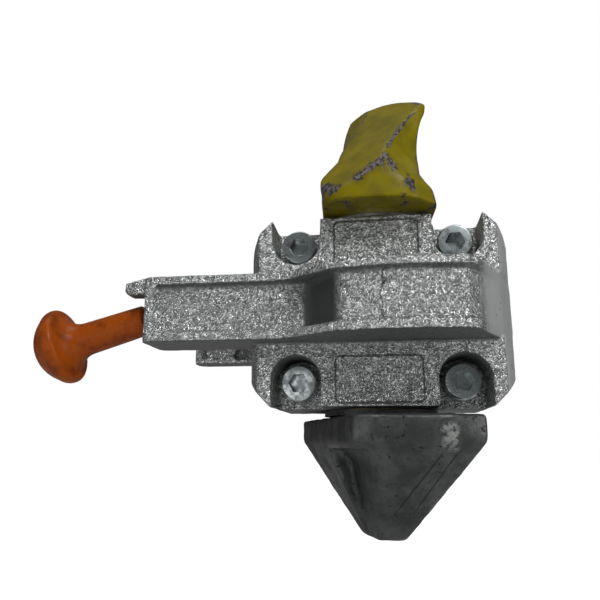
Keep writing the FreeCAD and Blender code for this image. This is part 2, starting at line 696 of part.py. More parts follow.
def upper_cone():
    """Twisted locking head: the plank, cut to its roof, crest, ends and corners."""
    plank = Part.makeLoft([plank_section(station) for station in HEAD_PLANK], True, False)
    run = HEAD_HEIGHT / HEAD_ROOF_RISE
    gable = Part.Face(Part.makePolygon([
        Vector(-run, -FAR, CONE_BOTTOM_Z),
        Vector(run, -FAR, CONE_BOTTOM_Z),
        Vector(0, -FAR, CONE_BOTTOM_Z + HEAD_HEIGHT),
        Vector(-run, -FAR, CONE_BOTTOM_Z),
    ])).extrude(Vector(0, 2 * FAR, 0))
    gable.rotate(ORIGIN, Z_AXIS, HEAD_ROOF_ANGLE)
    crest = profile_prism(reach_curve(HEAD_CREST, -1), reach_curve(HEAD_CREST, 1), HEAD_CREST_ANGLE)
    outer = [Reach(0.0, FAR), Reach(HEAD_HEIGHT, FAR)]
    trim = profile_prism(reach_curve(HEAD_END_TRIM, -1), reach_curve(outer, 1), 0)
    ends = turned_block(FAR, HEAD_HALF_LENGTH, HEAD_TURN)
    corners = turned_block(HEAD_CORNER_REACH, FAR, HEAD_CREST_ANGLE + 90)
    cone = plank
    for limit in (crest, gable, ends, corners, trim):
        cone = cone.common(limit)
    socket = Part.makeCylinder(SPIGOT_RADIUS + SEAT_CLEARANCE, SPIGOT_LENGTH + FIT_CLEARANCE,
                               Vector(0, 0, CONE_BOTTOM_Z))
    return cone.cut([socket, cone_pin_hole()])


def cone_pin_hole():
    """Cross hole through the upper head and the spigot."""
    return rod(CONE_PIN_RADIUS + SEAT_CLEARANCE, Vector(-FAR, 0, CONE_PIN_Z), Vector(FAR, 0, CONE_PIN_Z))


def upper_cone_pin():
    """Cross pin through the head and the shaft's spigot."""
    return rod(CONE_PIN_RADIUS, Vector(-CONE_PIN_HALF_LENGTH, 0, CONE_PIN_Z),
               Vector(CONE_PIN_HALF_LENGTH, 0, CONE_PIN_Z))


# ---- shaft and lower locking head ---------------------------------------------------------
def lower_cone_points(scale=1.0):
    """Six-sided plan with two long parallel sides; each end has a nose towards one side."""
    width = LOWER_CONE_HALF_WIDTH
    quarter = [
        (-width, -LOWER_CONE_SHORT_REACH),
        (LOWER_CONE_NOSE_SHIFT, -LOWER_CONE_LONG_REACH),
        (width, -LOWER_CONE_LONG_REACH + LOWER_CONE_NOSE_DROP),
    ]
    points = quarter + [(-x, -y) for x, y in quarter]
    return [(x * scale, y * scale) for x, y in points]


def lower_cone_wire(z, scale, corner):
    """Rounded six-sided outline at height z."""
    wire = rounded_outline(lower_cone_points(scale), [corner] * 6, z)
    wire.rotate(ORIGIN, Z_AXIS, LOWER_CONE_TURN)
    return wire


def side_scoop(z_rim, z_tip):
    """Hollow in the pyramid's long side under the rim, running out at the tip."""
    width = LOWER_CONE_HALF_WIDTH
    inner = width - LOWER_CONE_SCOOP
    outer = width + LOWER_CONE_SCOOP
    ledge_z = z_rim - LOWER_CONE_LEDGE
    profile = [
        Vector(-outer, 0, ledge_z),
        Vector(-inner - LOWER_CONE_LEDGE_BEVEL, 0, ledge_z),
        Vector(-inner, 0, ledge_z - LOWER_CONE_LEDGE_BEVEL),
        Vector(-width * LOWER_CONE_TIP_SCALE, 0, z_tip),
        Vector(-outer, 0, z_tip),
    ]
    face = Part.Face(Part.makePolygon(profile + [profile[0]]))
    scoop = face.extrude(Vector(0, LOWER_CONE_LONG_REACH + LOWER_CONE_SCOOP_END, 0))
    scoop.translate(Vector(0, -LOWER_CONE_LONG_REACH, 0))
    scoop.rotate(ORIGIN, Z_AXIS, LOWER_CONE_TURN)
    return scoop


def lower_head():
    """Rim slab and the pyramid below it, hollowed on both long sides."""
    z_rim = LOWER_CONE_TOP_Z - LOWER_CONE_RIM
    z_tip = LOWER_CONE_TOP_Z - LOWER_CONE_HEIGHT
    rim_wire = lower_cone_wire(z_rim, 1.0, LOWER_CONE_CORNER)
    tip_wire = lower_cone_wire(z_tip, LOWER_CONE_TIP_SCALE, LOWER_CONE_TIP_CORNER)
    rim = Part.Face(rim_wire).extrude(Vector(0, 0, LOWER_CONE_RIM))
    pyramid = Part.makeLoft([rim_wire, tip_wire], True, True)
    head = fuse_all([rim, pyramid])
    scoop = side_scoop(z_rim, z_tip)
    mirrored = scoop.copy()
    mirrored.rotate(ORIGIN, Z_AXIS, 180)
    return head.cut([scoop, mirrored])


def shaft_lower_cone():
    """Shaft with the lower head forged on: journal, flange, flats for the drum, top spigot."""
    spigot_top = CONE_BOTTOM_Z + SPIGOT_LENGTH
    shoulder_z = CONE_BOTTOM_Z - SPIGOT_SHOULDER_GAP
    root_z = LOWER_CONE_TOP_Z - TOOL_OVERSHOOT
    profile = [
        (0, root_z),
        (LOWER_JOURNAL_RADIUS, root_z),
        (LOWER_JOURNAL_RADIUS, SHAFT_FLANGE_BOTTOM_Z),
        (SHAFT_FLANGE_RADIUS, SHAFT_FLANGE_BOTTOM_Z),
        (SHAFT_FLANGE_RADIUS, SHAFT_FLANGE_TOP_Z),
        (SHAFT_RADIUS, SHAFT_FLANGE_TOP_Z),
        (SHAFT_RADIUS, shoulder_z),
        (SPIGOT_RADIUS, shoulder_z),
        (SPIGOT_RADIUS, spigot_top),
        (0, spigot_top),
    ]
    points = [Vector(radius, 0, z) for radius, z in profile]
    shaft = Part.Face(Part.makePolygon(points + [points[0]])).revolve(ORIGIN, Z_AXIS, 360)
    shaft = fuse_all([shaft, lower_head()])
    cuts = [cone_pin_hole()]
    for side in (-1, 1):
        y_low, y_high = sorted((side * SHAFT_FLAT_HALF_WIDTH, side * FAR))
        cuts.append(block(-FAR, FAR, y_low, y_high, SHAFT_FLANGE_TOP_Z, DRUM_TOP_Z + END_PLAY))
    return shaft.cut(cuts)


def lower_bush():
    """Plain bearing in the lower collar."""
    bore = LOWER_JOURNAL_RADIUS + RUNNING_CLEARANCE
    return tube(LOWER_BORE_RADIUS - SEAT_CLEARANCE, bore, LOWER_BOTTOM_Z, LOWER_BUSH_TOP_Z - SEAT_CLEARANCE)


def upper_bush():
    """Plain bearing in the upper collar."""
    bore = SHAFT_RADIUS + RUNNING_CLEARANCE
    return tube(UPPER_BORE_RADIUS - SEAT_CLEARANCE, bore, UPPER_BUSH_BOTTOM_Z + SEAT_CLEARANCE, UPPER_TOP_Z)


def top_thrust_washer():
    """Disc between the upper collar and the upper head."""
    z_low = TOP_WASHER_Z
    return tube(TOP_WASHER_RADIUS, SHAFT_RADIUS + RUNNING_CLEARANCE, z_low, z_low + TOP_WASHER_THICKNESS)


def lower_thrust_washer():
    """Disc between the lower collar and the lower head."""
    z_high = LOWER_BOTTOM_Z - END_PLAY
    bore = LOWER_JOURNAL_RADIUS + RUNNING_CLEARANCE
    return tube(LOWER_WASHER_RADIUS, bore, z_high - LOWER_WASHER_THICKNESS, z_high)


# ---- rope drum, rope and spring -----------------------------------------------------------
def nipple_angle():
    """Where the rope's end sits on the drum, counted from +X."""
    return -90 + ROPE_WRAP_ANGLE + math.degrees(NIPPLE_RADIUS / ROPE_LAY_RADIUS)


def spring_end_angle():
    """Where the spring's coil ends, counted from +X."""
    return (SPRING_HALF_TURNS * 180 + SPRING_START_ANGLE) % 360


def on_circle(radius, degrees, z):
    """Point at a radius and an angle about the shaft axis."""
    angle = math.radians(degrees)
    return Vector(radius * math.cos(angle), radius * math.sin(angle), z)


def stop_slot():
    """Arc slot in the drum's lower web: the stop pin's width plus the lock's whole turn."""
    half_pin = math.degrees(math.asin((STOP_PIN_RADIUS + STOP_CLEARANCE) / STOP_PIN_ORBIT))
    sweep = LOCK_TURN + 2 * half_pin
    pin_top_z = CHAMBER_FLOOR_Z - STOP_PIN_SEAT + STOP_PIN_LENGTH
    depth = pin_top_z + FIT_CLEARANCE - DRUM_BOTTOM_Z
    base = Vector(0, 0, DRUM_BOTTOM_Z)
    slot = Part.makeCylinder(DRUM_RADIUS, depth, base, Z_AXIS, sweep)
    slot = slot.cut(Part.makeCylinder(STOP_PIN_ORBIT - STOP_PIN_RADIUS - FIT_CLEARANCE, depth, base))
    slot.rotate(ORIGIN, Z_AXIS, 90 - half_pin)
    return slot


def rope_drum():
    """Grooved drum on the shaft's flats, with a pocket for the nipple and a slot for the stop pin."""
    profile = [
        (0, DRUM_BOTTOM_Z),
        (DRUM_RADIUS, DRUM_BOTTOM_Z),
        (DRUM_RADIUS, ROPE_LEVEL - DRUM_GROOVE_HALF),
        (GROOVE_FLOOR_RADIUS, ROPE_LEVEL - DRUM_GROOVE_HALF),
        (GROOVE_FLOOR_RADIUS, ROPE_LEVEL + DRUM_GROOVE_HALF),
        (DRUM_RADIUS, ROPE_LEVEL + DRUM_GROOVE_HALF),
        (DRUM_RADIUS, DRUM_TOP_Z),
        (0, DRUM_TOP_Z),
    ]
    points = [Vector(radius, 0, z) for radius, z in profile]
    drum = Part.Face(Part.makePolygon(points + [points[0]])).revolve(ORIGIN, Z_AXIS, 360)
    half_flat = SHAFT_FLAT_HALF_WIDTH + RUNNING_CLEARANCE
    bore = Part.makeCylinder(SHAFT_RADIUS + RUNNING_CLEARANCE, DRUM_TOP_Z - DRUM_BOTTOM_Z,
                             Vector(0, 0, DRUM_BOTTOM_Z))
    flats = block(-FAR, FAR, -half_flat, half_flat, DRUM_BOTTOM_Z, DRUM_TOP_Z)
    nipple_base = on_circle(ROPE_LAY_RADIUS, nipple_angle(), ROPE_LEVEL - NIPPLE_HEIGHT / 2)
    pocket = Part.makeCylinder(NIPPLE_RADIUS + RUNNING_CLEARANCE, DRUM_TOP_Z - nipple_base.z, nipple_base)
    foot = spring_foot()
    leg_hole = rod(SPRING_WIRE_RADIUS + SPRING_SLOT_CLEARANCE, foot - Vector(0, 0, SPRING_LOWER_LEG), foot)
    return drum.cut([bore.common(flats), stop_slot(), pocket, leg_hole])


def rope_nipple():
    """Swaged end of the rope in the drum's pocket."""
    base = on_circle(ROPE_LAY_RADIUS, nipple_angle(), ROPE_LEVEL - NIPPLE_HEIGHT / 2 + RUNNING_CLEARANCE)
    return Part.makeCylinder(NIPPLE_RADIUS, NIPPLE_HEIGHT, base)


def rope_wrap():
    """Rope on the drum, from where the straight run leaves it to the nipple."""
    section = Part.makeCircle(ROPE_RADIUS, Vector(0, -ROPE_LAY_RADIUS, ROPE_LEVEL), Vector(1, 0, 0))
    face = Part.Face(Part.Wire(section))
    return face.revolve(ORIGIN, Z_AXIS, ROPE_WRAP_ANGLE - math.degrees(ROPE_END_GAP / ROPE_LAY_RADIUS))


def wire_rope():
    """Straight run of the rope through the arm."""
    end = HANDLE_PIVOT + Vector(ROPE_RADIUS + ROPE_END_GAP, 0, 0)
    return rod(ROPE_RADIUS, end, Vector(0, MOUTH_Y, ROPE_LEVEL))


def spring_foot():
    """Where the spring's lower leg enters the drum's top web."""
    bend = Vector(-SPRING_BEND_RADIUS, 0, 0)
    start = on_circle(SPRING_COIL_RADIUS, SPRING_START_ANGLE, DRUM_TOP_Z)
    turn = FreeCAD.Rotation(Z_AXIS, SPRING_START_ANGLE + 90)
    return start + turn.multVec(bend)


def spring_coil():
    """Coil of half turns, each a round bar bent about the axis of its own sloping plane."""
    across = Vector(0, 1, 0)
    halves = []
    for i in range(SPRING_HALF_TURNS):
        side = 1 - 2 * (i % 2)
        start = Vector(side * SPRING_COIL_RADIUS, 0, i * SPRING_PITCH / 2)
        end = Vector(-side * SPRING_COIL_RADIUS, 0, (i + 1) * SPRING_PITCH / 2)
        disc = Part.Face(Part.Wire(Part.makeCircle(SPRING_WIRE_RADIUS, start, across)))
        halves.append(disc.revolve((start + end) / 2, across.cross(end - start) * side, 180))
    return halves


def torsion_spring():
    """Helical spring about the shaft: lower leg down into the drum, upper leg out into the rear half."""
    start = Vector(SPRING_COIL_RADIUS, 0, 0)
    disc = Part.Face(Part.Wire(Part.makeCircle(SPRING_WIRE_RADIUS, start, Vector(0, 1, 0))))
    lower_pivot = start - Vector(0, 0, SPRING_BEND_RADIUS)
    lower_bend = disc.revolve(lower_pivot, Vector(1, 0, 0), 90)
    lower_end = lower_pivot - Vector(0, SPRING_BEND_RADIUS, 0)
    drop = SPRING_BOTTOM_Z - SPRING_BEND_RADIUS - DRUM_TOP_Z + SPRING_LOWER_LEG
    lower_leg = rod(SPRING_WIRE_RADIUS, lower_end - Vector(0, 0, drop), lower_end)

    height = SPRING_TOP_Z - SPRING_BOTTOM_Z
    disc.translate(Vector(0, 0, height))
    upper_pivot = start + Vector(SPRING_BEND_RADIUS, 0, height)
    upper_bend = disc.revolve(upper_pivot, Z_AXIS, -90)
    upper_start = upper_pivot + Vector(0, SPRING_BEND_RADIUS, 0)
    upper_leg = rod(SPRING_WIRE_RADIUS, upper_start, upper_start + Vector(SPRING_UPPER_LEG, 0, 0))
    upper_end = upper_bend.fuse(upper_leg)
    upper_end.rotate(ORIGIN, Z_AXIS, SPRING_HALF_TURNS * 180)

    spring = fuse_all(spring_coil() + [lower_bend, lower_leg, upper_end])
    spring.rotate(ORIGIN, Z_AXIS, SPRING_START_ANGLE)
    spring.translate(Vector(0, 0, SPRING_BOTTOM_Z))
    return spring


# ---- arm mouth and handle -----------------------------------------------------------------
def rope_guide():
    """Eyelet in the arm's mouth, with a rounded lip that the rope bends over."""
    start = Vector(GUIDE_START_X, MOUTH_Y, ROPE_LEVEL)
    end = Vector(GUIDE_END_X - SEAT_CLEARANCE, MOUTH_Y, ROPE_LEVEL)
    guide = rod(GUIDE_RADIUS - SEAT_CLEARANCE, start, end).cut(rod(GUIDE_BORE, start, end))
    outer_rings = [edge for edge in guide.Edges if abs(edge.CenterOfMass.x - start.x) < SEAT_CLEARANCE]
    lip = min(outer_rings, key=lambda edge: edge.Length)
    return guide.makeFillet(GUIDE_LIP_RADIUS, [lip])


def tilt_from_axis(shape):
    """Place a shape made along +X from the origin on the handle's tilted axis."""
    shape.rotate(ORIGIN, Vector(0, 1, 0), 180 - HANDLE_TILT)
    shape.translate(HANDLE_PIVOT)
    return shape


def handle_profile():
    """Half section of the mushroom handle: stem, neck fillet, disc edge and a spherical face."""
    stem_start = Vector(HANDLE_STEM_START, 0, 0)
    chamfer_low = Vector(HANDLE_STEM_START, HANDLE_STEM_RADIUS - HANDLE_CHAMFER, 0)
    chamfer_high = Vector(HANDLE_STEM_START + HANDLE_CHAMFER, HANDLE_STEM_RADIUS, 0)
    neck = Vector(HANDLE_NECK_END, HANDLE_NECK_RADIUS, 0)
    under = Vector(HANDLE_DISC_AT - HANDLE_RIM_RADIUS, HANDLE_DISC_RADIUS - HANDLE_RIM_RADIUS, 0)
    neck_middle = (neck + under) / 2 + Vector(HANDLE_NECK_SAG, -HANDLE_NECK_SAG, 0)
    diagonal = HANDLE_RIM_RADIUS * (1 - math.sqrt(0.5))
    rim = Vector(HANDLE_DISC_AT, HANDLE_DISC_RADIUS, 0)
    rim_middle = Vector(under.x + diagonal, rim.y - diagonal, 0)
    face_edge = Vector(HANDLE_DISC_AT + HANDLE_EDGE_RADIUS, HANDLE_DISC_RADIUS - HANDLE_EDGE_DROP, 0)
    edge_middle = (rim + face_edge) / 2 + Vector(HANDLE_EDGE_SAG, HANDLE_EDGE_SAG, 0)
    crown = Vector(HANDLE_LENGTH, 0, 0)
    rise = crown.x - face_edge.x
    sphere_radius = (rise ** 2 + face_edge.y ** 2) / (2 * rise)
    half_angle = math.asin(face_edge.y / sphere_radius) / 2
    face_middle = Vector(crown.x - sphere_radius * (1 - math.cos(half_angle)),
                         sphere_radius * math.sin(half_angle), 0)
    return [
        Part.LineSegment(stem_start, chamfer_low).toShape(),
        Part.LineSegment(chamfer_low, chamfer_high).toShape(),
        Part.LineSegment(chamfer_high, neck).toShape(),
        Part.Arc(neck, neck_middle, under).toShape(),
        Part.Arc(under, rim_middle, rim).toShape(),
        Part.Arc(rim, edge_middle, face_edge).toShape(),
        Part.Arc(face_edge, face_middle, crown).toShape(),
        Part.LineSegment(crown, stem_start).toShape(),
    ]


def handle():
    """Moulded handle with the cavity for the rope's end and its ferrule."""
    face = Part.Face(Part.Wire(handle_profile()))
    body = face.revolve(ORIGIN, Vector(1, 0, 0), 360)
    bore = Part.makeCylinder(ROPE_RADIUS + SEAT_CLEARANCE, FERRULE_AT, ORIGIN, Vector(1, 0, 0))
    cavity = Part.makeCylinder(FERRULE_RADIUS + SEAT_CLEARANCE, FERRULE_LENGTH + SEAT_CLEARANCE * 2,
                               Vector(FERRULE_AT - SEAT_CLEARANCE, 0, 0), Vector(1, 0, 0))
    return tilt_from_axis(body.cut([bore, cavity]))


def rope_tail():
    """End of the rope from its bend in the mouth to the ferrule."""
    tail = Part.makeCylinder(ROPE_RADIUS, FERRULE_AT + FERRULE_LENGTH - FERRULE_CAP, ORIGIN, Vector(1, 0, 0))
    return tilt_from_axis(tail.fuse(Part.makeSphere(ROPE_RADIUS)))


def handle_ferrule():
    """Crimped sleeve on the rope's end."""
    sleeve = Part.makeCylinder(FERRULE_RADIUS, FERRULE_LENGTH, Vector(FERRULE_AT, 0, 0), Vector(1, 0, 0))
    rope = Part.makeCylinder(ROPE_RADIUS + SEAT_CLEARANCE, FERRULE_LENGTH - FERRULE_CAP + SEAT_CLEARANCE,
                             Vector(FERRULE_AT, 0, 0), Vector(1, 0, 0))
    return tilt_from_axis(sleeve.cut(rope))


# ---- output -------------------------------------------------------------------------------
PIECES = [
    housing_front,
    housing_rear,
    clamp_screws,
    spring_washers,
    clamp_nuts,
    dowel_pins,
    stop_pin,
    upper_bush,
    lower_bush,
    rope_guide,
    upper_cone,
    upper_cone_pin,
    top_thrust_washer,
    shaft_lower_cone,
    lower_thrust_washer,
    rope_drum,
    rope_nipple,
    rope_wrap,
    torsion_spring,
    wire_rope,
    handle,
    rope_tail,
    handle_ferrule,
]

os.makedirs("parts", exist_ok=True)
for make_piece in PIECES:
    shape = make_piece()
    shape.exportStep("parts/" + make_piece.__name__ + ".step")
    box = shape.optimalBoundingBox()
    print(make_piece.__name__, "valid", shape.isValid(), "solids", len(shape.Solids))
    print("    volume %.1f" % shape.Volume,
          "X %.1f..%.1f" % (box.XMin, box.XMax),
          "Y %.1f..%.1f" % (box.YMin, box.YMax),
          "Z %.1f..%.1f" % (box.ZMin, box.ZMax))
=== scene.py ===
"""Looks of a semi-automatic container twistlock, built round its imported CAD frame.

Every size is in millimetres in the part's own frame and becomes metres in the meshes: the origin is on
the shaft axis at the lower seating plane, +Z runs up the shaft and -Y is the side with the screw heads.
"""
import logging
import math
from dataclasses import dataclass
from enum import Enum
from typing import Optional, Sequence

import bmesh
import bpy
import numpy as np
from mathutils import Matrix, Vector


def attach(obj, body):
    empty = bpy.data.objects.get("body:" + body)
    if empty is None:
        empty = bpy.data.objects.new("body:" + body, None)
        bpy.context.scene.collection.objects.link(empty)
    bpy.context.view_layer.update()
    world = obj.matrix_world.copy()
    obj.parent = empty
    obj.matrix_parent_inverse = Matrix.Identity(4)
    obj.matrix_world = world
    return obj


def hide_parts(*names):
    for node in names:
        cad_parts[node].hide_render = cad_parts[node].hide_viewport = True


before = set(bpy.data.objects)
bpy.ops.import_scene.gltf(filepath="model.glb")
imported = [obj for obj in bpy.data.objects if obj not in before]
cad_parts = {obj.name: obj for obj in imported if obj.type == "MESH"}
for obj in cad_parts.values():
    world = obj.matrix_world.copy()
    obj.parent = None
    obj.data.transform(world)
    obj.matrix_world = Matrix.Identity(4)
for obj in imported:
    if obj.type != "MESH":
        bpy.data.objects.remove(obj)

LOG = logging.getLogger("twistlock")
MM = 0.001
JOIN_MM = 0.002
FLAT_ANGLE = 0.3
DIAGONAL = math.sqrt(0.5)

Colour = tuple[float, float, float]
Socket = bpy.types.NodeSocket


# ---- shader graphs ------------------------------------------------------------------------
class Operation(Enum):
    """Arithmetic that a Math node does."""

    ADD = "ADD"
    SUBTRACT = "SUBTRACT"
    MULTIPLY = "MULTIPLY"
    MAXIMUM = "MAXIMUM"
    ABSOLUTE = "ABSOLUTE"
    POWER = "POWER"


@dataclass
class Shader:
    """A material's node graph with the few nodes that the finishes need."""

    name: str

    def __post_init__(self) -> None:
        """Starts an empty material with a Principled surface and Object coordinates."""
        self.material = bpy.data.materials.new(self.name)
        self.material.use_nodes = True
        self.tree = self.material.node_tree
        self.tree.nodes.clear()
        self.surface = self.tree.nodes.new("ShaderNodeBsdfPrincipled")
        output = self.tree.nodes.new("ShaderNodeOutputMaterial")
        self.tree.links.new(self.surface.outputs["BSDF"], output.inputs["Surface"])
        self.place = self.tree.nodes.new("ShaderNodeTexCoord").outputs["Object"]

    def feed(self, socket: Socket, value: object) -> None:
        """Links a socket, or sets a constant on it.

        Args:
            socket: The input to feed.
            value: Another node's output, or a number or tuple.
        """
        if isinstance(value, bpy.types.NodeSocket):
            self.tree.links.new(value, socket)
        else:
            socket.default_value = value

    def stretched(self, scale: Sequence[float], turn: Sequence[float] = (0, 0, 0)) -> Socket:
        """Object coordinates, turned in degrees and then scaled along each axis."""
        node = self.tree.nodes.new("ShaderNodeMapping")
        self.tree.links.new(self.place, node.inputs["Vector"])
        node.inputs["Scale"].default_value = scale
        node.inputs["Rotation"].default_value = [math.radians(a) for a in turn]
        return node.outputs["Vector"]

    def noise(self, size_mm: float, detail: float = 2.0, roughness: float = 0.5,
              distortion: float = 0.0, vector: Optional[Socket] = None) -> Socket:
        """Cloudy pattern.

        Args:
            size_mm: Width of its blotches.
            detail: Octaves of finer pattern.
            roughness: Strength of each finer octave.
            distortion: How far the pattern is swirled.
            vector: Coordinates other than plain Object ones.

        Returns:
            Its value from 0 to 1.
        """
        node = self.tree.nodes.new("ShaderNodeTexNoise")
        self.feed(node.inputs["Vector"], vector or self.place)
        node.inputs["Scale"].default_value = 1 / (size_mm * MM)
        node.inputs["Detail"].default_value = detail
        node.inputs["Roughness"].default_value = roughness
        node.inputs["Distortion"].default_value = distortion
        return node.outputs["Fac"]

    def attribute(self, name: str) -> Socket:
        """A mesh attribute's value."""
        node = self.tree.nodes.new("ShaderNodeAttribute")
        node.attribute_name = name
        return node.outputs["Fac"]

    def axes(self, vector: Socket) -> tuple[Socket, Socket, Socket]:
        """A vector's three components."""
        node = self.tree.nodes.new("ShaderNodeSeparateXYZ")
        self.tree.links.new(vector, node.inputs["Vector"])
        return node.outputs["X"], node.outputs["Y"], node.outputs["Z"]

    def facing(self) -> Socket:
        """The surface's own direction in object coordinates, before any relief."""
        return self.tree.nodes.new("ShaderNodeTexCoord").outputs["Normal"]

    def window(self, value: Socket, rise: float, full: float, fade: float, gone: float) -> Socket:
        """1 between two places in mm, with soft ends."""
        up = self.ramp(value, rise * MM, full * MM)
        down = self.ramp(value, fade * MM, gone * MM, 1.0, 0.0)
        return self.reckon(Operation.MULTIPLY, up, down)

    def ramp(self, value: Socket, low: float, high: float, start: float = 0.0, end: float = 1.0) -> Socket:
        """Smooth step of a value.

        Args:
            value: What to map.
            low: Value at which the result starts to change.
            high: Value at which it stops changing.
            start: Result at low.
            end: Result at high.

        Returns:
            The mapped value.
        """
        node = self.tree.nodes.new("ShaderNodeMapRange")
        node.interpolation_type = "SMOOTHSTEP"
        self.feed(node.inputs["Value"], value)
        node.inputs["From Min"].default_value = low
        node.inputs["From Max"].default_value = high
        node.inputs["To Min"].default_value = start
        node.inputs["To Max"].default_value = end
        return node.outputs["Result"]

    def reckon(self, operation: Operation, a: object, b: object) -> Socket:
        """One Math node of two values."""
        node = self.tree.nodes.new("ShaderNodeMath")
        node.operation = operation.value
        self.feed(node.inputs[0], a)
        self.feed(node.inputs[1], b)
        return node.outputs["Value"]

    def blend(self, share: Socket, below: object, above: object) -> Socket:
        """Colour that goes from one to another as share goes from 0 to 1."""
        node = self.tree.nodes.new("ShaderNodeMix")
        node.data_type = "RGBA"
        self.feed(node.inputs["Factor"], share)
        for key, value in (("A", below), ("B", above)):
            socket = [s for s in node.inputs if s.name == key and s.type == "RGBA"][0]
            if not isinstance(value, bpy.types.NodeSocket):
                value = (*value, 1.0)
            self.feed(socket, value)
        return [s for s in node.outputs if s.type == "RGBA"][0]

    def relief(self, height: Socket, depth_mm: float, under: Optional[Socket] = None) -> Socket:
        """Surface normal bent by a height pattern of a real depth."""
        node = self.tree.nodes.new("ShaderNodeBump")
        node.inputs["Strength"].default_value = 1.0
        node.inputs["Distance"].default_value = depth_mm * MM
        self.feed(node.inputs["Height"], height)
        if under is not None:
            self.feed(node.inputs["Normal"], under)
        return node.outputs["Normal"]

    def finish(self, colour: object, roughness: object, metallic: object,
               normal: Optional[Socket] = None, sheen_level: float = 0.5) -> bpy.types.Material:
        """Feeds the surface and hands the material over.

        Args:
            colour: Base colour, constant or linked.
            roughness: Constant or linked.
            metallic: Constant or linked.
            normal: Bent normal, if any.
            sheen_level: Strength of the reflection where the surface isn't metal.

        Returns:
            The material.
        """
        if not isinstance(colour, bpy.types.NodeSocket):
            colour = (*colour, 1.0)
        self.feed(self.surface.inputs["Base Color"], colour)
        self.feed(self.surface.inputs["Roughness"], roughness)
        self.feed(self.surface.inputs["Metallic"], metallic)
        self.feed(self.surface.inputs["Specular IOR Level"], sheen_level)
        if normal is not None:
            self.feed(self.surface.inputs["Normal"], normal)
        return self.material


def times_all(shader: Shader, *values: Socket) -> Socket:
    """Product of several values."""
    result = values[0]
    for value in values[1:]:
        result = shader.reckon(Operation.MULTIPLY, result, value)
    return result


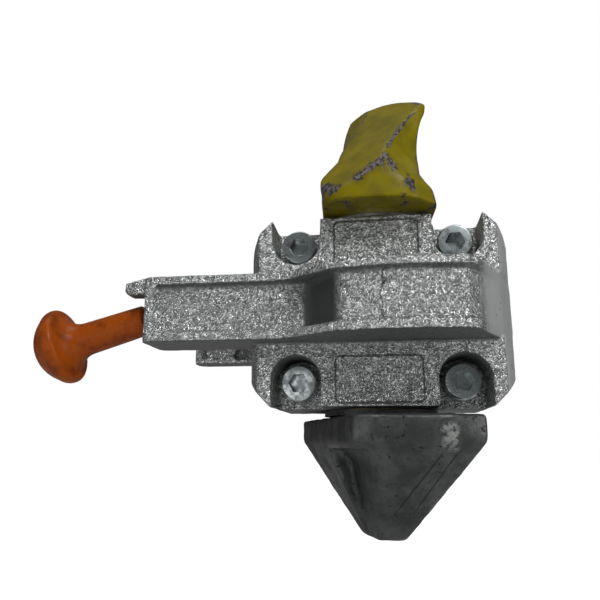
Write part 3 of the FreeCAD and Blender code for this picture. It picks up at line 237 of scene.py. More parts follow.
# ---- finishes -----------------------------------------------------------------------------
@dataclass(frozen=True)
class GalvanisedCasting:
    """Hot-dip zinc on a sand-cast surface: glinting ripples on the fronts, smooth dull zinc elsewhere, and
    painted shade on the bend and the undersides.
    """

    dark: Colour = (0.170, 0.176, 0.175)
    light: Colour = (0.84, 0.86, 0.85)
    shadow: Colour = (0.060, 0.063, 0.062)
    dull: Colour = (0.36, 0.37, 0.37)
    grain_mm: float = 1.45
    lump_mm: float = 6.0
    relief_mm: float = 1.30
    line_mm: float = 0.48
    corner_mm: float = 2.6

    def frame_line(self, shader: Shader, x: Socket, z: Socket, middle: float,
                   half: Sequence[float]) -> Socket:
        """Thin line round a collar's label panel.

        Args:
            shader: The graph.
            x: Place along the collar.
            z: Place up the shaft.
            middle: Height of the panel's middle, in mm.
            half: Its half length and half height, in mm.

        Returns:
            1 on the line, else 0.
        """
        level = shader.reckon(Operation.SUBTRACT, z, middle * MM)
        square = None
        for place, reach in ((x, half[0]), (level, half[1])):
            beyond = shader.reckon(Operation.SUBTRACT, shader.reckon(Operation.ABSOLUTE, place, 0.0),
                                   (reach - self.corner_mm) * MM)
            beyond = shader.reckon(Operation.MAXIMUM, beyond, 0.0)
            power = shader.reckon(Operation.POWER, beyond, 2.0)
            square = power if square is None else shader.reckon(Operation.ADD, square, power)
        root = shader.reckon(Operation.POWER, square, 0.5)
        out = shader.reckon(Operation.SUBTRACT, root, self.corner_mm * MM)
        away = shader.reckon(Operation.ABSOLUTE, out, 0.0)
        return shader.ramp(away, 0.4 * self.line_mm * MM, self.line_mm * MM, 1.0, 0.0)

    def build(self) -> bpy.types.Material:
        """The material."""
        shader = Shader("galvanised_casting")
        times, most = Operation.MULTIPLY, Operation.MAXIMUM
        x, y, z = shader.axes(shader.place)
        facing_x, facing_y, facing_z = shader.axes(shader.facing())
        grain = shader.noise(self.grain_mm, detail=2.0, roughness=0.45, distortion=1.6)
        fine = shader.noise(0.45, detail=2.0)
        lump = shader.noise(self.lump_mm, detail=3.0)
        streak = shader.noise(2.6, detail=2.0, vector=shader.stretched((1.0, 1.0, 0.4), (0, 35, 0)))
        tone = shader.reckon(Operation.ADD, shader.ramp(grain, 0.40, 0.66, 0.0, 0.66),
                             shader.reckon(Operation.ADD, shader.ramp(streak, 0.42, 0.75, 0.0, 0.16),
                                           shader.ramp(fine, 0.45, 0.75, 0.0, 0.16)))
        colour = shader.blend(tone, self.dark, self.light)
        # the bend between arm and bulge, and every underside, has no grain and gets painted shade: the dark
        # shadow colour
        bend = shader.window(x, -33.0, -30.5, -18.0, -14.0)
        band = shader.window(z, 3.0, 5.5, 24.5, 27.0)
        shaded_bend = times_all(shader, bend, band, shader.ramp(y, -0.028, -0.034))
        # painted shade on every face that turns downwards
        under = shader.ramp(facing_z, -0.35, -0.80, 0.0, 0.85)
        smooth = shader.reckon(most, shaded_bend, under)
        colour = shader.blend(smooth, colour, self.shadow)
        # the flank beyond the screws is smooth, dull and pitted
        flank = shader.reckon(times, shader.ramp(x, 0.0405, 0.0465), shader.ramp(facing_x, 0.25, 0.6))
        pits = shader.ramp(shader.noise(2.2, detail=3.0), 0.66, 0.71)
        colour = shader.blend(flank, colour, shader.blend(pits, self.dull, self.shadow))
        # panel outlines, and a cold shut across the bulge
        face = shader.ramp(facing_y, -0.6, -0.9)
        upper = self.frame_line(shader, x, z, 41.5, (18.6, 13.6))
        lower = self.frame_line(shader, x, z, -16.3, (18.6, 10.0))
        lines = times_all(shader, shader.reckon(most, upper, lower), face, shader.ramp(y, -0.0312, -0.0300))
        wander = shader.reckon(times, shader.reckon(Operation.SUBTRACT, shader.noise(9.0, detail=2.0), 0.5),
                               0.016)
        shut = shader.reckon(Operation.ABSOLUTE, shader.reckon(
            Operation.SUBTRACT, shader.reckon(Operation.ADD, x, wander), 0.0035), 0.0)
        crack = times_all(shader, shader.ramp(shut, 0.0001, 0.0005, 1.0, 0.0), band,
                          shader.ramp(y, -0.050, -0.053))
        marks = shader.reckon(most, shader.reckon(times, lines, 0.75), shader.reckon(times, crack, 0.8))
        colour = shader.blend(marks, colour, self.shadow)
        calm = shader.reckon(most, smooth, flank)
        height = shader.reckon(Operation.SUBTRACT, shader.reckon(
            times, grain, shader.reckon(Operation.SUBTRACT, 1.0, calm)), marks)
        roughness = shader.ramp(calm, 0.0, 1.0, 0.27, 0.50)
        metallic = shader.ramp(calm, 0.0, 1.0, 0.90, 0.50)
        normal = shader.relief(height, self.relief_mm, shader.relief(lump, 0.30))
        return shader.finish(colour, roughness, metallic, normal)


@dataclass(frozen=True)
class ZincPlating:
    """Bright plating on turned and upset fasteners, with painted shade in the four screw sockets."""

    colour: Colour = (0.44, 0.48, 0.48)
    dull: Colour = (0.24, 0.27, 0.275)
    # colour of the painted shade inside the screw sockets
    socket: Colour = (0.022, 0.025, 0.026)
    across_mm: float = 36.0
    middle_mm: float = 15.0
    apart_mm: float = 31.8
    face_mm: float = -19.2

    def build(self) -> bpy.types.Material:
        """The material."""
        shader = Shader("zinc_plating")
        cloud = shader.noise(3.0, detail=5.0, roughness=0.6)
        colour = shader.blend(shader.ramp(cloud, 0.36, 0.62), self.colour, self.dull)
        # painted shade darkens the sockets of the four screws
        x, y, z = shader.axes(shader.place)
        level = shader.reckon(Operation.SUBTRACT, z, self.middle_mm * MM)
        square = None
        for place, reach in ((x, self.across_mm), (level, self.apart_mm)):
            off = shader.reckon(Operation.SUBTRACT, shader.reckon(Operation.ABSOLUTE, place, 0.0), reach * MM)
            power = shader.reckon(Operation.MULTIPLY, off, off)
            square = power if square is None else shader.reckon(Operation.ADD, square, power)
        away = shader.reckon(Operation.POWER, square, 0.5)
        dark_tone = times_all(shader, shader.ramp(away, 4.9 * MM, 5.2 * MM, 1.0, 0.0),
                         shader.window(y, (self.face_mm + 0.2) * MM, (self.face_mm + 1.0) * MM,
                                       (self.face_mm + 8.0) * MM, (self.face_mm + 8.5) * MM))
        colour = shader.blend(shader.reckon(Operation.MULTIPLY, dark_tone, 0.9), colour, self.socket)
        roughness = shader.ramp(cloud, 0.3, 0.7, 0.20, 0.42)
        normal = shader.relief(shader.noise(0.7, detail=2.0), 0.03)
        return shader.finish(colour, roughness, 1.0, normal)


@dataclass(frozen=True)
class ChippedEnamel:
    """Glossy olive-yellow enamel, scuffed to bare metal along its worn edges."""

    paint: Colour = (0.185, 0.150, 0.0030)
    shade: Colour = (0.120, 0.098, 0.0020)
    bare: Colour = (0.135, 0.118, 0.122)
    scar: Colour = (0.030, 0.027, 0.030)
    wear: str = "wear"

    def build(self) -> bpy.types.Material:
        """The material."""
        shader = Shader("chipped_enamel")
        cloud = shader.noise(11.0, detail=4.0)
        paint = shader.blend(shader.ramp(cloud, 0.32, 0.68), self.paint, self.shade)
        fleck = shader.noise(2.4, detail=8.0, roughness=0.80)
        patch = shader.noise(9.0, detail=2.0)
        edge = shader.reckon(Operation.MULTIPLY, shader.attribute(self.wear), shader.ramp(patch, 0.30, 0.55))
        worn = shader.reckon(Operation.ADD, fleck, shader.ramp(edge, 0.05, 0.75, -0.20, 0.14))
        chips = shader.ramp(worn, 0.53, 0.59)
        rust = shader.ramp(shader.noise(1.6, detail=4.0), 0.42, 0.58)
        colour = shader.blend(chips, paint, shader.blend(rust, self.bare, self.scar))
        roughness = shader.reckon(Operation.ADD, shader.ramp(cloud, 0.3, 0.7, 0.24, 0.40),
                                  shader.reckon(Operation.MULTIPLY, chips, 0.2))
        height = shader.reckon(Operation.SUBTRACT, shader.noise(3.2, detail=3.0), chips)
        return shader.finish(colour, roughness, 0.0, shader.relief(height, 0.14), sheen_level=0.10)


@dataclass(frozen=True)
class ForgedSteel:
    """Dark forged skin, mottled and pitted."""

    base: Colour = (0.034, 0.037, 0.036)
    light: Colour = (0.082, 0.088, 0.084)
    pit: Colour = (0.010, 0.010, 0.010)
    rubbed: Colour = (0.26, 0.27, 0.26)
    grooves: tuple[tuple[float, float, float], ...] = ((0.798, -0.603, 47.0), (0.824, -0.566, 50.5))

    def build(self) -> bpy.types.Material:
        """The material."""
        shader = Shader("forged_steel")
        cloud = shader.noise(14.0, detail=7.0, roughness=0.66)
        colour = shader.blend(shader.ramp(cloud, 0.38, 0.70), self.base, self.light)
        x, y, z = shader.axes(shader.place)
        rubbed = times_all(shader, shader.window(x, 22.0, 25.0, 28.0, 31.0), shader.ramp(y, -0.030, -0.036),
                           shader.window(z, -47.0, -44.0, -37.0, -34.0),
                           shader.ramp(shader.noise(2.5, detail=4.0), 0.38, 0.58))
        colour = shader.blend(rubbed, colour, self.rubbed)
        pits = shader.ramp(shader.noise(1.9, detail=4.0, roughness=0.6), 0.60, 0.68)
        for across, down, away in self.grooves:
            place = shader.reckon(Operation.ADD, shader.reckon(Operation.MULTIPLY, x, across),
                                  shader.reckon(Operation.MULTIPLY, z, down))
            off = shader.reckon(Operation.ABSOLUTE, shader.reckon(Operation.SUBTRACT, place, away * MM), 0.0)
            line = times_all(shader, shader.ramp(off, 0.00015, 0.0006, 0.8, 0.0),
                             shader.window(z, -74.0, -66.0, -47.5, -46.0), shader.ramp(y, -0.004, -0.010))
            pits = shader.reckon(Operation.MAXIMUM, pits, line)
        colour = shader.blend(pits, colour, self.pit)
        roughness = shader.ramp(cloud, 0.3, 0.7, 0.52, 0.38)
        grain = shader.reckon(Operation.SUBTRACT, shader.noise(1.3, detail=4.0), pits)
        return shader.finish(colour, roughness, 0.60, shader.relief(grain, 0.16))


@dataclass(frozen=True)
class BrightSteel:
    """Turned or drawn steel, slightly oiled."""

    name: str = "bright_steel"
    colour: Colour = (0.42, 0.42, 0.42)
    roughness: float = 0.32
    grain_mm: float = 0.6

    def build(self) -> bpy.types.Material:
        """The material."""
        shader = Shader(self.name)
        cloud = shader.noise(5.0, detail=4.0)
        dull = tuple(0.6 * c for c in self.colour)
        colour = shader.blend(shader.ramp(cloud, 0.4, 0.7), self.colour, dull)
        rough = shader.ramp(cloud, 0.3, 0.7, self.roughness, self.roughness + 0.15)
        normal = shader.relief(shader.noise(self.grain_mm, detail=2.0), 0.02)
        return shader.finish(colour, rough, 1.0, normal)


@dataclass(frozen=True)
class MouldedPlastic:
    """Glossy orange moulding, dirtier in cloudy patches."""

    colour: Colour = (0.290, 0.056, 0.0025)
    dark_tone: Colour = (0.130, 0.022, 0.0020)

    def build(self) -> bpy.types.Material:
        """The material."""
        shader = Shader("moulded_plastic")
        cloud = shader.noise(9.0, detail=5.0, roughness=0.6)
        colour = shader.blend(shader.ramp(cloud, 0.42, 0.72), self.colour, self.dark_tone)
        roughness = shader.ramp(cloud, 0.3, 0.7, 0.26, 0.42)
        normal = shader.relief(shader.noise(1.6, detail=3.0), 0.04)
        return shader.finish(colour, roughness, 0.0, normal, sheen_level=0.12)


# ---- studio -------------------------------------------------------------------------------
@dataclass
class Studio:
    """Camera, floor, lamps, and a world that is white to the camera and grey to the object."""

    camera_place: tuple[float, float, float] = (2.607, -292.976, -42.843)
    yaw: float = 0.138
    pitch: float = 0.228
    roll: float = 0.002
    lens_mm: float = 36.89
    floor_z: float = -190.0
    floor_half: float = 4000.0
    floor_lift: float = 0.97

    def camera_axes(self) -> Matrix:
        """Columns are the camera's right, up and backward axes.

        The view direction is turned by yaw about Z and raised by pitch. Right and up are then rolled
        about it.
        """
        forward = Vector((-math.sin(self.yaw) * math.cos(self.pitch),
                          math.cos(self.yaw) * math.cos(self.pitch), math.sin(self.pitch)))
        level = Vector((math.cos(self.yaw), math.sin(self.yaw), 0))
        upright = level.cross(forward)
        right = math.cos(self.roll) * level + math.sin(self.roll) * upright
        up = -math.sin(self.roll) * level + math.cos(self.roll) * upright
        return Matrix((right, up, -forward)).transposed()

    def camera(self) -> None:
        """Places the camera and makes it the scene's."""
        data = bpy.data.cameras.new("camera")
        data.sensor_width = 36.0
        data.lens = self.lens_mm
        data.clip_start = 0.01
        data.clip_end = 50.0
        camera = bpy.data.objects.new("camera", data)
        camera.matrix_world = Matrix.Translation(Vector(self.camera_place) * MM) @ self.camera_axes().to_4x4()
        bpy.context.scene.collection.objects.link(camera)
        bpy.context.scene.camera = camera

    def lamp(self, name: str, place: Sequence[float], aim: Sequence[float], size_mm: float,
             watts: float) -> None:
        """Square soft lamp.

        Args:
            name: Its name.
            place: Where it hangs, in mm.
            aim: The point that it faces, in mm.
            size_mm: Its side.
            watts: Its power.
        """
        data = bpy.data.lights.new(name, "AREA")
        data.size = size_mm * MM
        data.energy = watts
        lamp = bpy.data.objects.new(name, data)
        lamp.location = Vector(place) * MM
        lamp.rotation_mode = "QUATERNION"
        lamp.rotation_quaternion = (Vector(aim) - Vector(place)).to_track_quat("-Z", "Y")
        bpy.context.scene.collection.objects.link(lamp)

    def seen_directly(self, tree: bpy.types.NodeTree) -> Socket:
        """1 for rays from the camera or through glass, else 0; reflections see the grey world instead."""
        path = tree.nodes.new("ShaderNodeLightPath")
        either = tree.nodes.new("ShaderNodeMath")
        either.operation = "MAXIMUM"
        tree.links.new(path.outputs["Is Camera Ray"], either.inputs[0])
        tree.links.new(path.outputs["Is Transmission Ray"], either.inputs[1])
        return either.outputs["Value"]

    def world(self) -> None:
        """White to the camera; to the object, grey that is lighter above than below."""
        world = bpy.data.worlds.new("studio")
        world.use_nodes = True
        tree = world.node_tree
        tree.nodes.clear()
        place = tree.nodes.new("ShaderNodeTexCoord")
        split = tree.nodes.new("ShaderNodeSeparateXYZ")
        tree.links.new(place.outputs["Generated"], split.inputs["Vector"])
        level = tree.nodes.new("ShaderNodeMapRange")
        tree.links.new(split.outputs["Z"], level.inputs["Value"])
        level.inputs["From Min"].default_value = -0.6
        level.inputs["From Max"].default_value = 0.9
        level.inputs["To Min"].default_value = 0.03
        level.inputs["To Max"].default_value = 0.21
        soft = tree.nodes.new("ShaderNodeBackground")
        tree.links.new(level.outputs["Result"], soft.inputs["Strength"])
        white = tree.nodes.new("ShaderNodeBackground")
        white.inputs["Strength"].default_value = 1.0
        white.inputs["Color"].default_value = (1, 1, 1, 1)
        mix = tree.nodes.new("ShaderNodeMixShader")
        tree.links.new(self.seen_directly(tree), mix.inputs["Fac"])
        tree.links.new(soft.outputs["Background"], mix.inputs[1])
        tree.links.new(white.outputs["Background"], mix.inputs[2])
        output = tree.nodes.new("ShaderNodeOutputWorld")
        tree.links.new(mix.outputs["Shader"], output.inputs["Surface"])
        bpy.context.scene.world = world

    def floor(self) -> None:
        """Pale floor well below the part, lifted to near white where the camera sees it."""
        half, level = self.floor_half * MM, self.floor_z * MM
        corners = [(-half, -half, level), (half, -half, level), (half, half, level), (-half, half, level)]
        mesh = bpy.data.meshes.new("floor")
        mesh.from_pydata(corners, [], [(0, 1, 2, 3)])
        material = bpy.data.materials.new("pale_floor")
        material.use_nodes = True
        tree = material.node_tree
        surface = tree.nodes["Principled BSDF"]
        surface.inputs["Base Color"].default_value = (0.80, 0.80, 0.80, 1)
        surface.inputs["Roughness"].default_value = 0.9
        surface.inputs["Emission Color"].default_value = (1, 1, 1, 1)
        lift = tree.nodes.new("ShaderNodeMath")
        lift.operation = "MULTIPLY"
        tree.links.new(self.seen_directly(tree), lift.inputs[0])
        lift.inputs[1].default_value = self.floor_lift
        tree.links.new(lift.outputs["Value"], surface.inputs["Emission Strength"])
        mesh.materials.append(material)
        floor = bpy.data.objects.new("floor", mesh)
        bpy.context.scene.collection.objects.link(floor)

    def build(self) -> None:
        """Sets the whole studio up."""
        bpy.context.scene.view_settings.view_transform = "Standard"
        self.camera()
        self.world()
        self.floor()
        self.lamp("key", (300, -600, 560), (0, -20, 10), 240, 4.2)
        self.lamp("top", (-150, -150, 760), (0, -20, 20), 420, 1.6)
        self.lamp("fill", (-560, -460, 60), (-40, -20, 10), 420, 0.5)
        self.lamp("low", (-170, -560, -40), (0, -20, 0), 240, 0.25)
        self.lamp("side", (640, -260, 120), (50, -10, 10), 300, 1.3)


# ---- sub-assemblies -----------------------------------------------------------------------
@dataclass
class Piece:
    """A new mesh that stands for CAD nodes, rides on a body and takes a finish."""

    name: str
    body: str
    slot: str
    material: bpy.types.Material
    nodes: tuple[str, ...]

    def place(self, mesh: bpy.types.Mesh, smooth_angle: float = 32.0) -> bpy.types.Object:
        """Shows the mesh in place of the nodes.

        Args:
            mesh: The finished mesh, in the part's frame.
            smooth_angle: Edges flatter than this, in degrees, are shaded smooth.

        Returns:
            The new object.
        """
        mesh.name = self.name
        mesh.materials.clear()
        mesh.materials.append(self.material)
        mesh.shade_smooth()
        mesh.set_sharp_from_angle(angle=math.radians(smooth_angle))
        piece = bpy.data.objects.new(self.name, mesh)
        bpy.context.scene.collection.objects.link(piece)
        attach(piece, self.body)
        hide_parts(*self.nodes)
        LOG.info("%s stands for %s", self.name, ", ".join(self.nodes))
        return piece


@dataclass
class EasedSolid(Piece):
    """A copy of one CAD solid with its points joined, its flat faces whole and its edges broken."""

    edge_mm: float = 0.5
    edge_angle: float = 34.0
    segments: int = 2

    def merged(self) -> bpy.types.Mesh:
        """The node's mesh with joined points and whole flat faces."""
        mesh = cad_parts[self.nodes[0]].data.copy()
        work = bmesh.new()
        work.from_mesh(mesh)
        bmesh.ops.remove_doubles(work, verts=work.verts[:], dist=JOIN_MM * MM)
        bmesh.ops.dissolve_limit(work, angle_limit=math.radians(FLAT_ANGLE), verts=work.verts[:],
                                 edges=work.edges[:])
        work.to_mesh(mesh)
        work.free()
        return mesh

    def build(self) -> bpy.types.Object:
        """The eased piece."""
        piece = self.place(self.merged())
        bevel = piece.modifiers.new("eased_edges", "BEVEL")
        bevel.width = self.edge_mm * MM
        bevel.segments = self.segments
        bevel.limit_method = "ANGLE"
        bevel.angle_limit = math.radians(self.edge_angle)
        bevel.use_clamp_overlap = True
        bevel.harden_normals = False
        return piece


@dataclass
class CastSkin(EasedSolid):
    """A solid resampled to an even skin, with the soft edges and waviness of a casting or forging."""

    cell_mm: float = 1.0
    passes: int = 4
    wave_mm: float = 5.0
    wave_depth_mm: float = 0.35

    def build(self) -> bpy.types.Object:
        """The softened piece."""
        piece = self.place(self.merged(), smooth_angle=180.0)
        skin = piece.modifiers.new("even_skin", "REMESH")
        skin.mode = "VOXEL"
        skin.voxel_size = self.cell_mm * MM
        skin.use_smooth_shade = True
        soft = piece.modifiers.new("soft_edges", "SMOOTH")
        soft.factor = 0.5
        soft.iterations = self.passes
        clouds = bpy.data.textures.new(self.name + "_waves", "CLOUDS")
        clouds.noise_scale = self.wave_mm * MM
        clouds.noise_depth = 2
        waves = piece.modifiers.new("waviness", "DISPLACE")
        waves.texture = clouds
        waves.texture_coords = "LOCAL"
        waves.strength = self.wave_depth_mm * MM
        waves.mid_level = 0.85
        return piece


@dataclass
class FrontCasting(CastSkin):
    """Front half of the housing, whose recess stays flat along the arm and runs out on the right flank."""

    outline_x: tuple[float, ...] = (-104.0, -47.0, -20.0, 8.0, 38.5, 53.0, 60.5)
    outline_y: tuple[float, ...] = (-37.5, -37.5, -53.5, -58.0, -55.0, -27.0, -8.0)
    rim_mm: float = 4.6
    flange_mm: float = 30.0
    recess_mm: float = 2.8
    bend: tuple[float, float] = (-53.8, -13.4)
    rim_bend_start: float = -45.0
    floor_bend_start: float = -33.0
    run_out: tuple[float, float] = (40.0, 50.0)
    slope_step: float = 0.5
    bend_slack: float = 0.5
    level_tolerance: float = 0.05
    front_limit_y: float = -29.5
    floor_share: float = 0.55
    rim_share: float = 0.5
    band_share: float = 2.0
    rise_share: float = 0.97

    def reshape(self, points: np.ndarray) -> np.ndarray:
        """Moves the band's points along the arm and out on the flank.

        A point counts as on the recess's floor where it lies at a rim's inner edge and more than half the
        recess inside the flange's outline. In the bend, floor and rim points keep their depth and are drawn
        together towards the bulge, the floor more than the rim. On the flank, floor points rise to the
        outline between the two run-out places.

        Args:
            points: Points in mm.

        Returns:
            The moved points.
        """
        x, y, z = points.T.copy()
        near = x[:, None] + np.array([-self.slope_step, 0.0, self.slope_step])
        outline = np.interp(near, self.outline_x, self.outline_y)
        slope = np.gradient(outline, axis=1)[:, 1] / self.slope_step
        inset = (y - np.interp(x, self.outline_x, self.outline_y)) / np.hypot(1, slope)
        slack = self.level_tolerance
        edge = np.minimum(abs(z - self.rim_mm), abs(z - self.flange_mm + self.rim_mm)) < slack
        band = (inset < self.band_share * self.recess_mm) & (z > -slack) & (z < self.flange_mm + slack)
        front = band & (y < self.front_limit_y)
        floor = edge & front & (inset > self.floor_share * self.recess_mm)
        rim = front & ~floor & (inset < self.rim_share * self.recess_mm)
        start, end = self.bend
        for chosen, new_start in ((floor, self.floor_bend_start), (rim, self.rim_bend_start)):
            inside = chosen & (x > start - self.bend_slack) & (x < end)
            x[inside] = end + (x[inside] - end) * (new_start - end) / (start - end)
        deep = (inset > self.floor_share * self.recess_mm) & (inset < self.band_share * self.recess_mm)
        flank = edge & (x > self.run_out[0]) & deep
        rise = np.clip((x - self.run_out[0]) / (self.run_out[1] - self.run_out[0]), 0, 1)
        out = np.where(flank, rise * inset * self.rise_share, 0.0)
        long = np.hypot(1, slope)
        return np.stack([x + out * slope / long, y - out / long, z], -1)

    def merged(self) -> bpy.types.Mesh:
        """The joined mesh with its band reshaped."""
        mesh = super().merged()
        points = np.empty(len(mesh.vertices) * 3)
        mesh.vertices.foreach_get("co", points)
        moved = self.reshape(points.reshape(-1, 3) / MM) * MM
        mesh.vertices.foreach_set("co", moved.ravel())
        mesh.update()
        return mesh


Stations = tuple[tuple[float, float], ...]


def eased(stations: Stations, z: np.ndarray) -> np.ndarray:
    """Smooth curve through (height, value) stations that never overshoots them.

    Each station's slope is the harmonic mean of the slopes on its two sides, and none where they turn;
    between stations the curve is the cubic with those slopes.

    Args:
        stations: Heights in rising order, with their values.
        z: Heights to read.

    Returns:
        The values there.
    """
    heights, values = np.array(stations, float).T
    step = np.diff(heights)
    slope = np.diff(values) / step
    before, after = slope[:-1], slope[1:]
    turning = before * after <= 0
    total = np.where(turning, 1.0, before + after)
    inner = np.where(turning, 0.0, 2 * before * after / np.where(total == 0, 1.0, total))
    slopes = np.concatenate([[slope[0]], inner, [slope[-1]]])
    k = np.clip(np.searchsorted(heights, z) - 1, 0, len(step) - 1)
    t = (z - heights[k]) / step[k]
    rising = t * t * (3 - 2 * t)
    return (values[k] * (1 - rising) + values[k + 1] * rising
            + step[k] * t * (1 - t) * (slopes[k] * (1 - t) - slopes[k + 1] * t))


@dataclass
class UpperHead(Piece):
    """Yellow locking head: a plank that narrows and twists as it rises, under a gable roof.

    Stations are heights above the flange's lower seating plane with half widths, reaches or degrees.
    """

    base_z: float = 59.2
    ridge_z: float = 127.2
    top_z: float = 126.68
    roof_normal: tuple[float, float] = (0.4844, 0.8749)
    roof_rise: float = 1.321
    turn: float = 4.0
    half_length: float = 46.0
    corner_reach: float = 43.5
    socket_radius: float = 15.02
    socket_top: float = 79.7
    sharpness: float = 30.0
    least_reach: float = 0.35
    wear_width: float = 0.075
    lip_mm: float = 1.2
    lip_depth_mm: float = 1.0
    closing_mm: float = 0.15
    closing_share: float = 0.02
    crowding: float = 1.25
    rows: int = 190
    columns: int = 300
    plank: Stations = ((59.2, 25.6), (62.0, 25.5), (66.0, 25.0), (70.0, 23.8), (75.0, 22.6), (79.0, 21.4),
                       (83.0, 20.0), (86.0, 18.9), (90.0, 18.3), (95.0, 17.3), (100.0, 16.1), (105.0, 14.1),
                       (110.0, 11.6), (114.0, 9.3), (118.0, 6.9), (122.0, 4.3), (127.2, 1.0))
    twist: Stations = ((59.2, 4.0), (62.0, 3.3), (66.0, 2.2), (70.0, -1.1), (75.0, -3.3), (79.0, -1.3),
                       (83.0, 1.5), (86.0, 3.6), (90.0, 5.0), (95.0, 8.0), (100.0, 12.5), (105.0, 19.0),
                       (110.0, 27.4), (114.0, 33.0), (118.0, 38.0), (122.0, 42.0), (127.2, 45.0))
    crest: Stations = ((59.2, 42.8), (66.0, 42.6), (70.0, 41.0), (74.0, 38.5), (78.0, 36.0), (84.0, 33.0),
                       (90.0, 31.8), (100.0, 31.8), (106.0, 33.0), (110.0, 34.0), (113.8, 33.6),
                       (117.4, 29.5), (120.8, 23.0), (124.6, 14.0), (126.2, 8.0), (127.2, 1.0))
    end_trim: Stations = ((59.2, 60.0), (70.0, 40.0), (76.0, 28.0), (80.0, 22.6), (84.0, 18.9), (87.0, 17.2),
                          (100.0, 16.6), (108.0, 16.2), (114.0, 15.2), (120.0, 13.5), (127.2, 11.0))

    def radius(self, angle: np.ndarray, z: np.ndarray) -> tuple[np.ndarray, np.ndarray]:
        """Distance of the surface from the shaft axis, and how near the point is to an edge.

        Each flat limits the distance to its own reach over the cosine between its normal and the direction.
        The surface is the smooth least of these limits: the inverse of the p-norm of the inverse limits.

        Args:
            angle: Directions about the shaft axis.
            z: Heights.

        Returns:
            The distances, and 1 on an edge falling to 0 inside a flat.
        """
        roof = np.maximum((self.ridge_z - z) / self.roof_rise, self.least_reach)
        turned = math.radians(self.turn)
        twist = np.radians(eased(self.twist, z))
        plank = eased(self.plank, z)
        crest = eased(self.crest, z)
        flats = [(-1.0, 0.0, eased(self.end_trim, z))]
        for side in (1, -1):
            flats.append((side * self.roof_normal[0], side * self.roof_normal[1], roof))
            flats.append((side * np.cos(twist), side * np.sin(twist), plank))
            flats.append((side * DIAGONAL, -side * DIAGONAL, crest))
            flats.append((side * DIAGONAL, side * DIAGONAL, self.corner_reach))
            flats.append((side * math.sin(turned), -side * math.cos(turned), self.half_length))
        along_x, along_y = np.cos(angle), np.sin(angle)
        inverse = np.stack([np.clip(along_x * nx + along_y * ny, 0, None) / reach + 0 * z
                            for nx, ny, reach in flats])
        ordered = np.sort(inverse, axis=0)
        largest = ordered[-1]
        norm = ((inverse / largest) ** self.sharpness).sum(0) ** (1 / self.sharpness)
        edge = np.exp(-(largest - ordered[-2]) / (self.wear_width * largest))
        return 1 / (norm * largest), edge

    def heights(self) -> np.ndarray:
        """Rows from the underside to the ridge, closer together near the ridge."""
        share = np.linspace(0, 1, self.rows)
        reach = self.top_z - self.closing_mm - self.base_z
        return self.base_z + reach * (1 - (1 - share) ** self.crowding)

    def build(self) -> bpy.types.Object:
        """The head's closed skin, with the wear of its edges as an attribute."""
        z = np.repeat(self.heights()[:, None], self.columns, 1)
        angle = np.repeat(np.linspace(0, 2 * np.pi, self.columns, endpoint=False)[None, :], self.rows, 0)
        distance, edge = self.radius(angle, z)
        lip = np.clip((z - self.base_z) / self.lip_mm, 0, 1)
        distance = distance - self.lip_depth_mm * (1 - np.sqrt(1 - (1 - lip) ** 2))
        socket_r = np.full(self.columns, self.socket_radius)
        close = self.closing_share
        rings = np.vstack([close * socket_r, socket_r, socket_r, distance, close * distance[-1]])
        top = np.full(self.columns, self.socket_top)
        bottom = np.full(self.columns, self.base_z)
        ridge = np.full(self.columns, self.top_z)
        levels = np.vstack([top, top, bottom, z, ridge])
        wear = np.vstack([0 * socket_r, 0 * socket_r, 0 * socket_r, edge, edge[-1]])
        turn = angle[0]
        points = np.stack([rings * np.cos(turn), rings * np.sin(turn), levels], -1).reshape(-1, 3) * MM
        mesh = ring_mesh(self.name, points, len(rings), self.columns)
        layer = mesh.attributes.new("wear", "FLOAT", "POINT")
        layer.data.foreach_set("value", wear.ravel().astype(np.float32))
        return self.place(mesh, smooth_angle=24.0)


def ring_mesh(name: str, points: np.ndarray, rings: int, columns: int) -> bpy.types.Mesh:
    """Skin over rings of points, closed at both ends.

    Args:
        name: The mesh's name.
        points: Rings one after another, each counter-clockwise from above, from inside the socket outwards.
        rings: How many rings.
        columns: Points in each ring.

    Returns:
        The mesh.
    """
    ring, column = np.meshgrid(np.arange(rings - 1), np.arange(columns), indexing="ij")
    here = ring * columns + column
    beside = ring * columns + (column + 1) % columns
    quads = np.stack([here, beside, beside + columns, here + columns], -1).reshape(-1, 4)
    first = list(range(columns - 1, -1, -1))
    last = list(range((rings - 1) * columns, rings * columns))
    mesh = bpy.data.meshes.new(name)
    mesh.from_pydata(points.tolist(), [], quads.tolist() + [first, last])
    return mesh


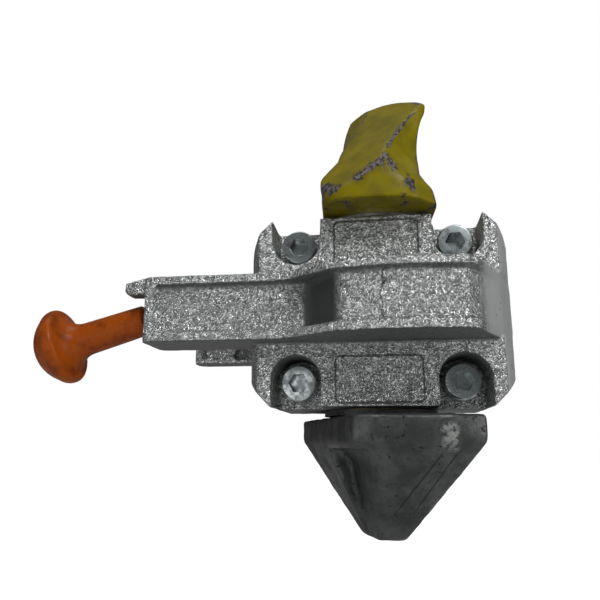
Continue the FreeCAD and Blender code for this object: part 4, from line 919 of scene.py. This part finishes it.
@dataclass
class CadFinish:
    """A CAD node that keeps its own mesh and gets a finish."""

    node: str
    material: bpy.types.Material

    def dress(self) -> None:
        """Gives the node its material."""
        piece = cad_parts[self.node]
        piece.data.materials.clear()
        piece.data.materials.append(self.material)
        LOG.info("dressed %s", self.node)


def corners(box: tuple[Vector, Vector]) -> list[list[float]]:
    """A box's two corners as plain lists."""
    return [list(box[0]), list(box[1])]


def main() -> None:
    """Builds the studio and every piece."""
    logging.basicConfig(level=logging.INFO, format="%(name)s: %(message)s")
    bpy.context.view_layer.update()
    Studio().build()
    casting = GalvanisedCasting().build()
    zinc = ZincPlating().build()
    steel = BrightSteel().build()
    forged = ForgedSteel().build()
    enamel = ChippedEnamel().build()
    plastic = MouldedPlastic().build()
    bronze = BrightSteel("bronze", (0.42, 0.26, 0.10), 0.38).build()
    finishes = {
        "housing_front": casting, "housing_rear": casting,
        "clamp_screws": zinc, "clamp_nuts": zinc, "spring_washers": zinc,
        "dowel_pins": steel, "stop_pin": steel, "upper_bush": bronze, "lower_bush": bronze,
        "rope_guide": steel, "upper_cone": enamel, "upper_cone_pin": steel,
        "top_thrust_washer": steel, "shaft_lower_cone": forged, "lower_thrust_washer": forged,
        "rope_drum": steel, "rope_nipple": steel, "rope_wrap": zinc, "torsion_spring": steel,
        "wire_rope": zinc, "rope_tail": zinc, "handle_ferrule": zinc,
        "handle": plastic,
    }
    for node, material in finishes.items():
        CadFinish(node, material).dress()
    FrontCasting("front_casting", "housing", "cast_zinc", casting, ("housing_front",)).build()
    CastSkin("rear_casting", "housing", "cast_zinc", casting, ("housing_rear",)).build()
    CastSkin("shaft_forging", "shaft", "forged_steel", forged, ("shaft_lower_cone",), passes=12,
             wave_mm=7.0, wave_depth_mm=0.6).build()
    EasedSolid("screw_set", "housing", "zinc_screw", zinc, ("clamp_screws",), edge_mm=0.2).build()
    EasedSolid("grip", "grip", "orange_plastic", plastic, ("handle",), edge_mm=0.3).build()
    UpperHead("locking_head", "shaft", "yellow_paint", enamel, ("upper_cone",)).build()


if __name__ == "__main__":
    main()
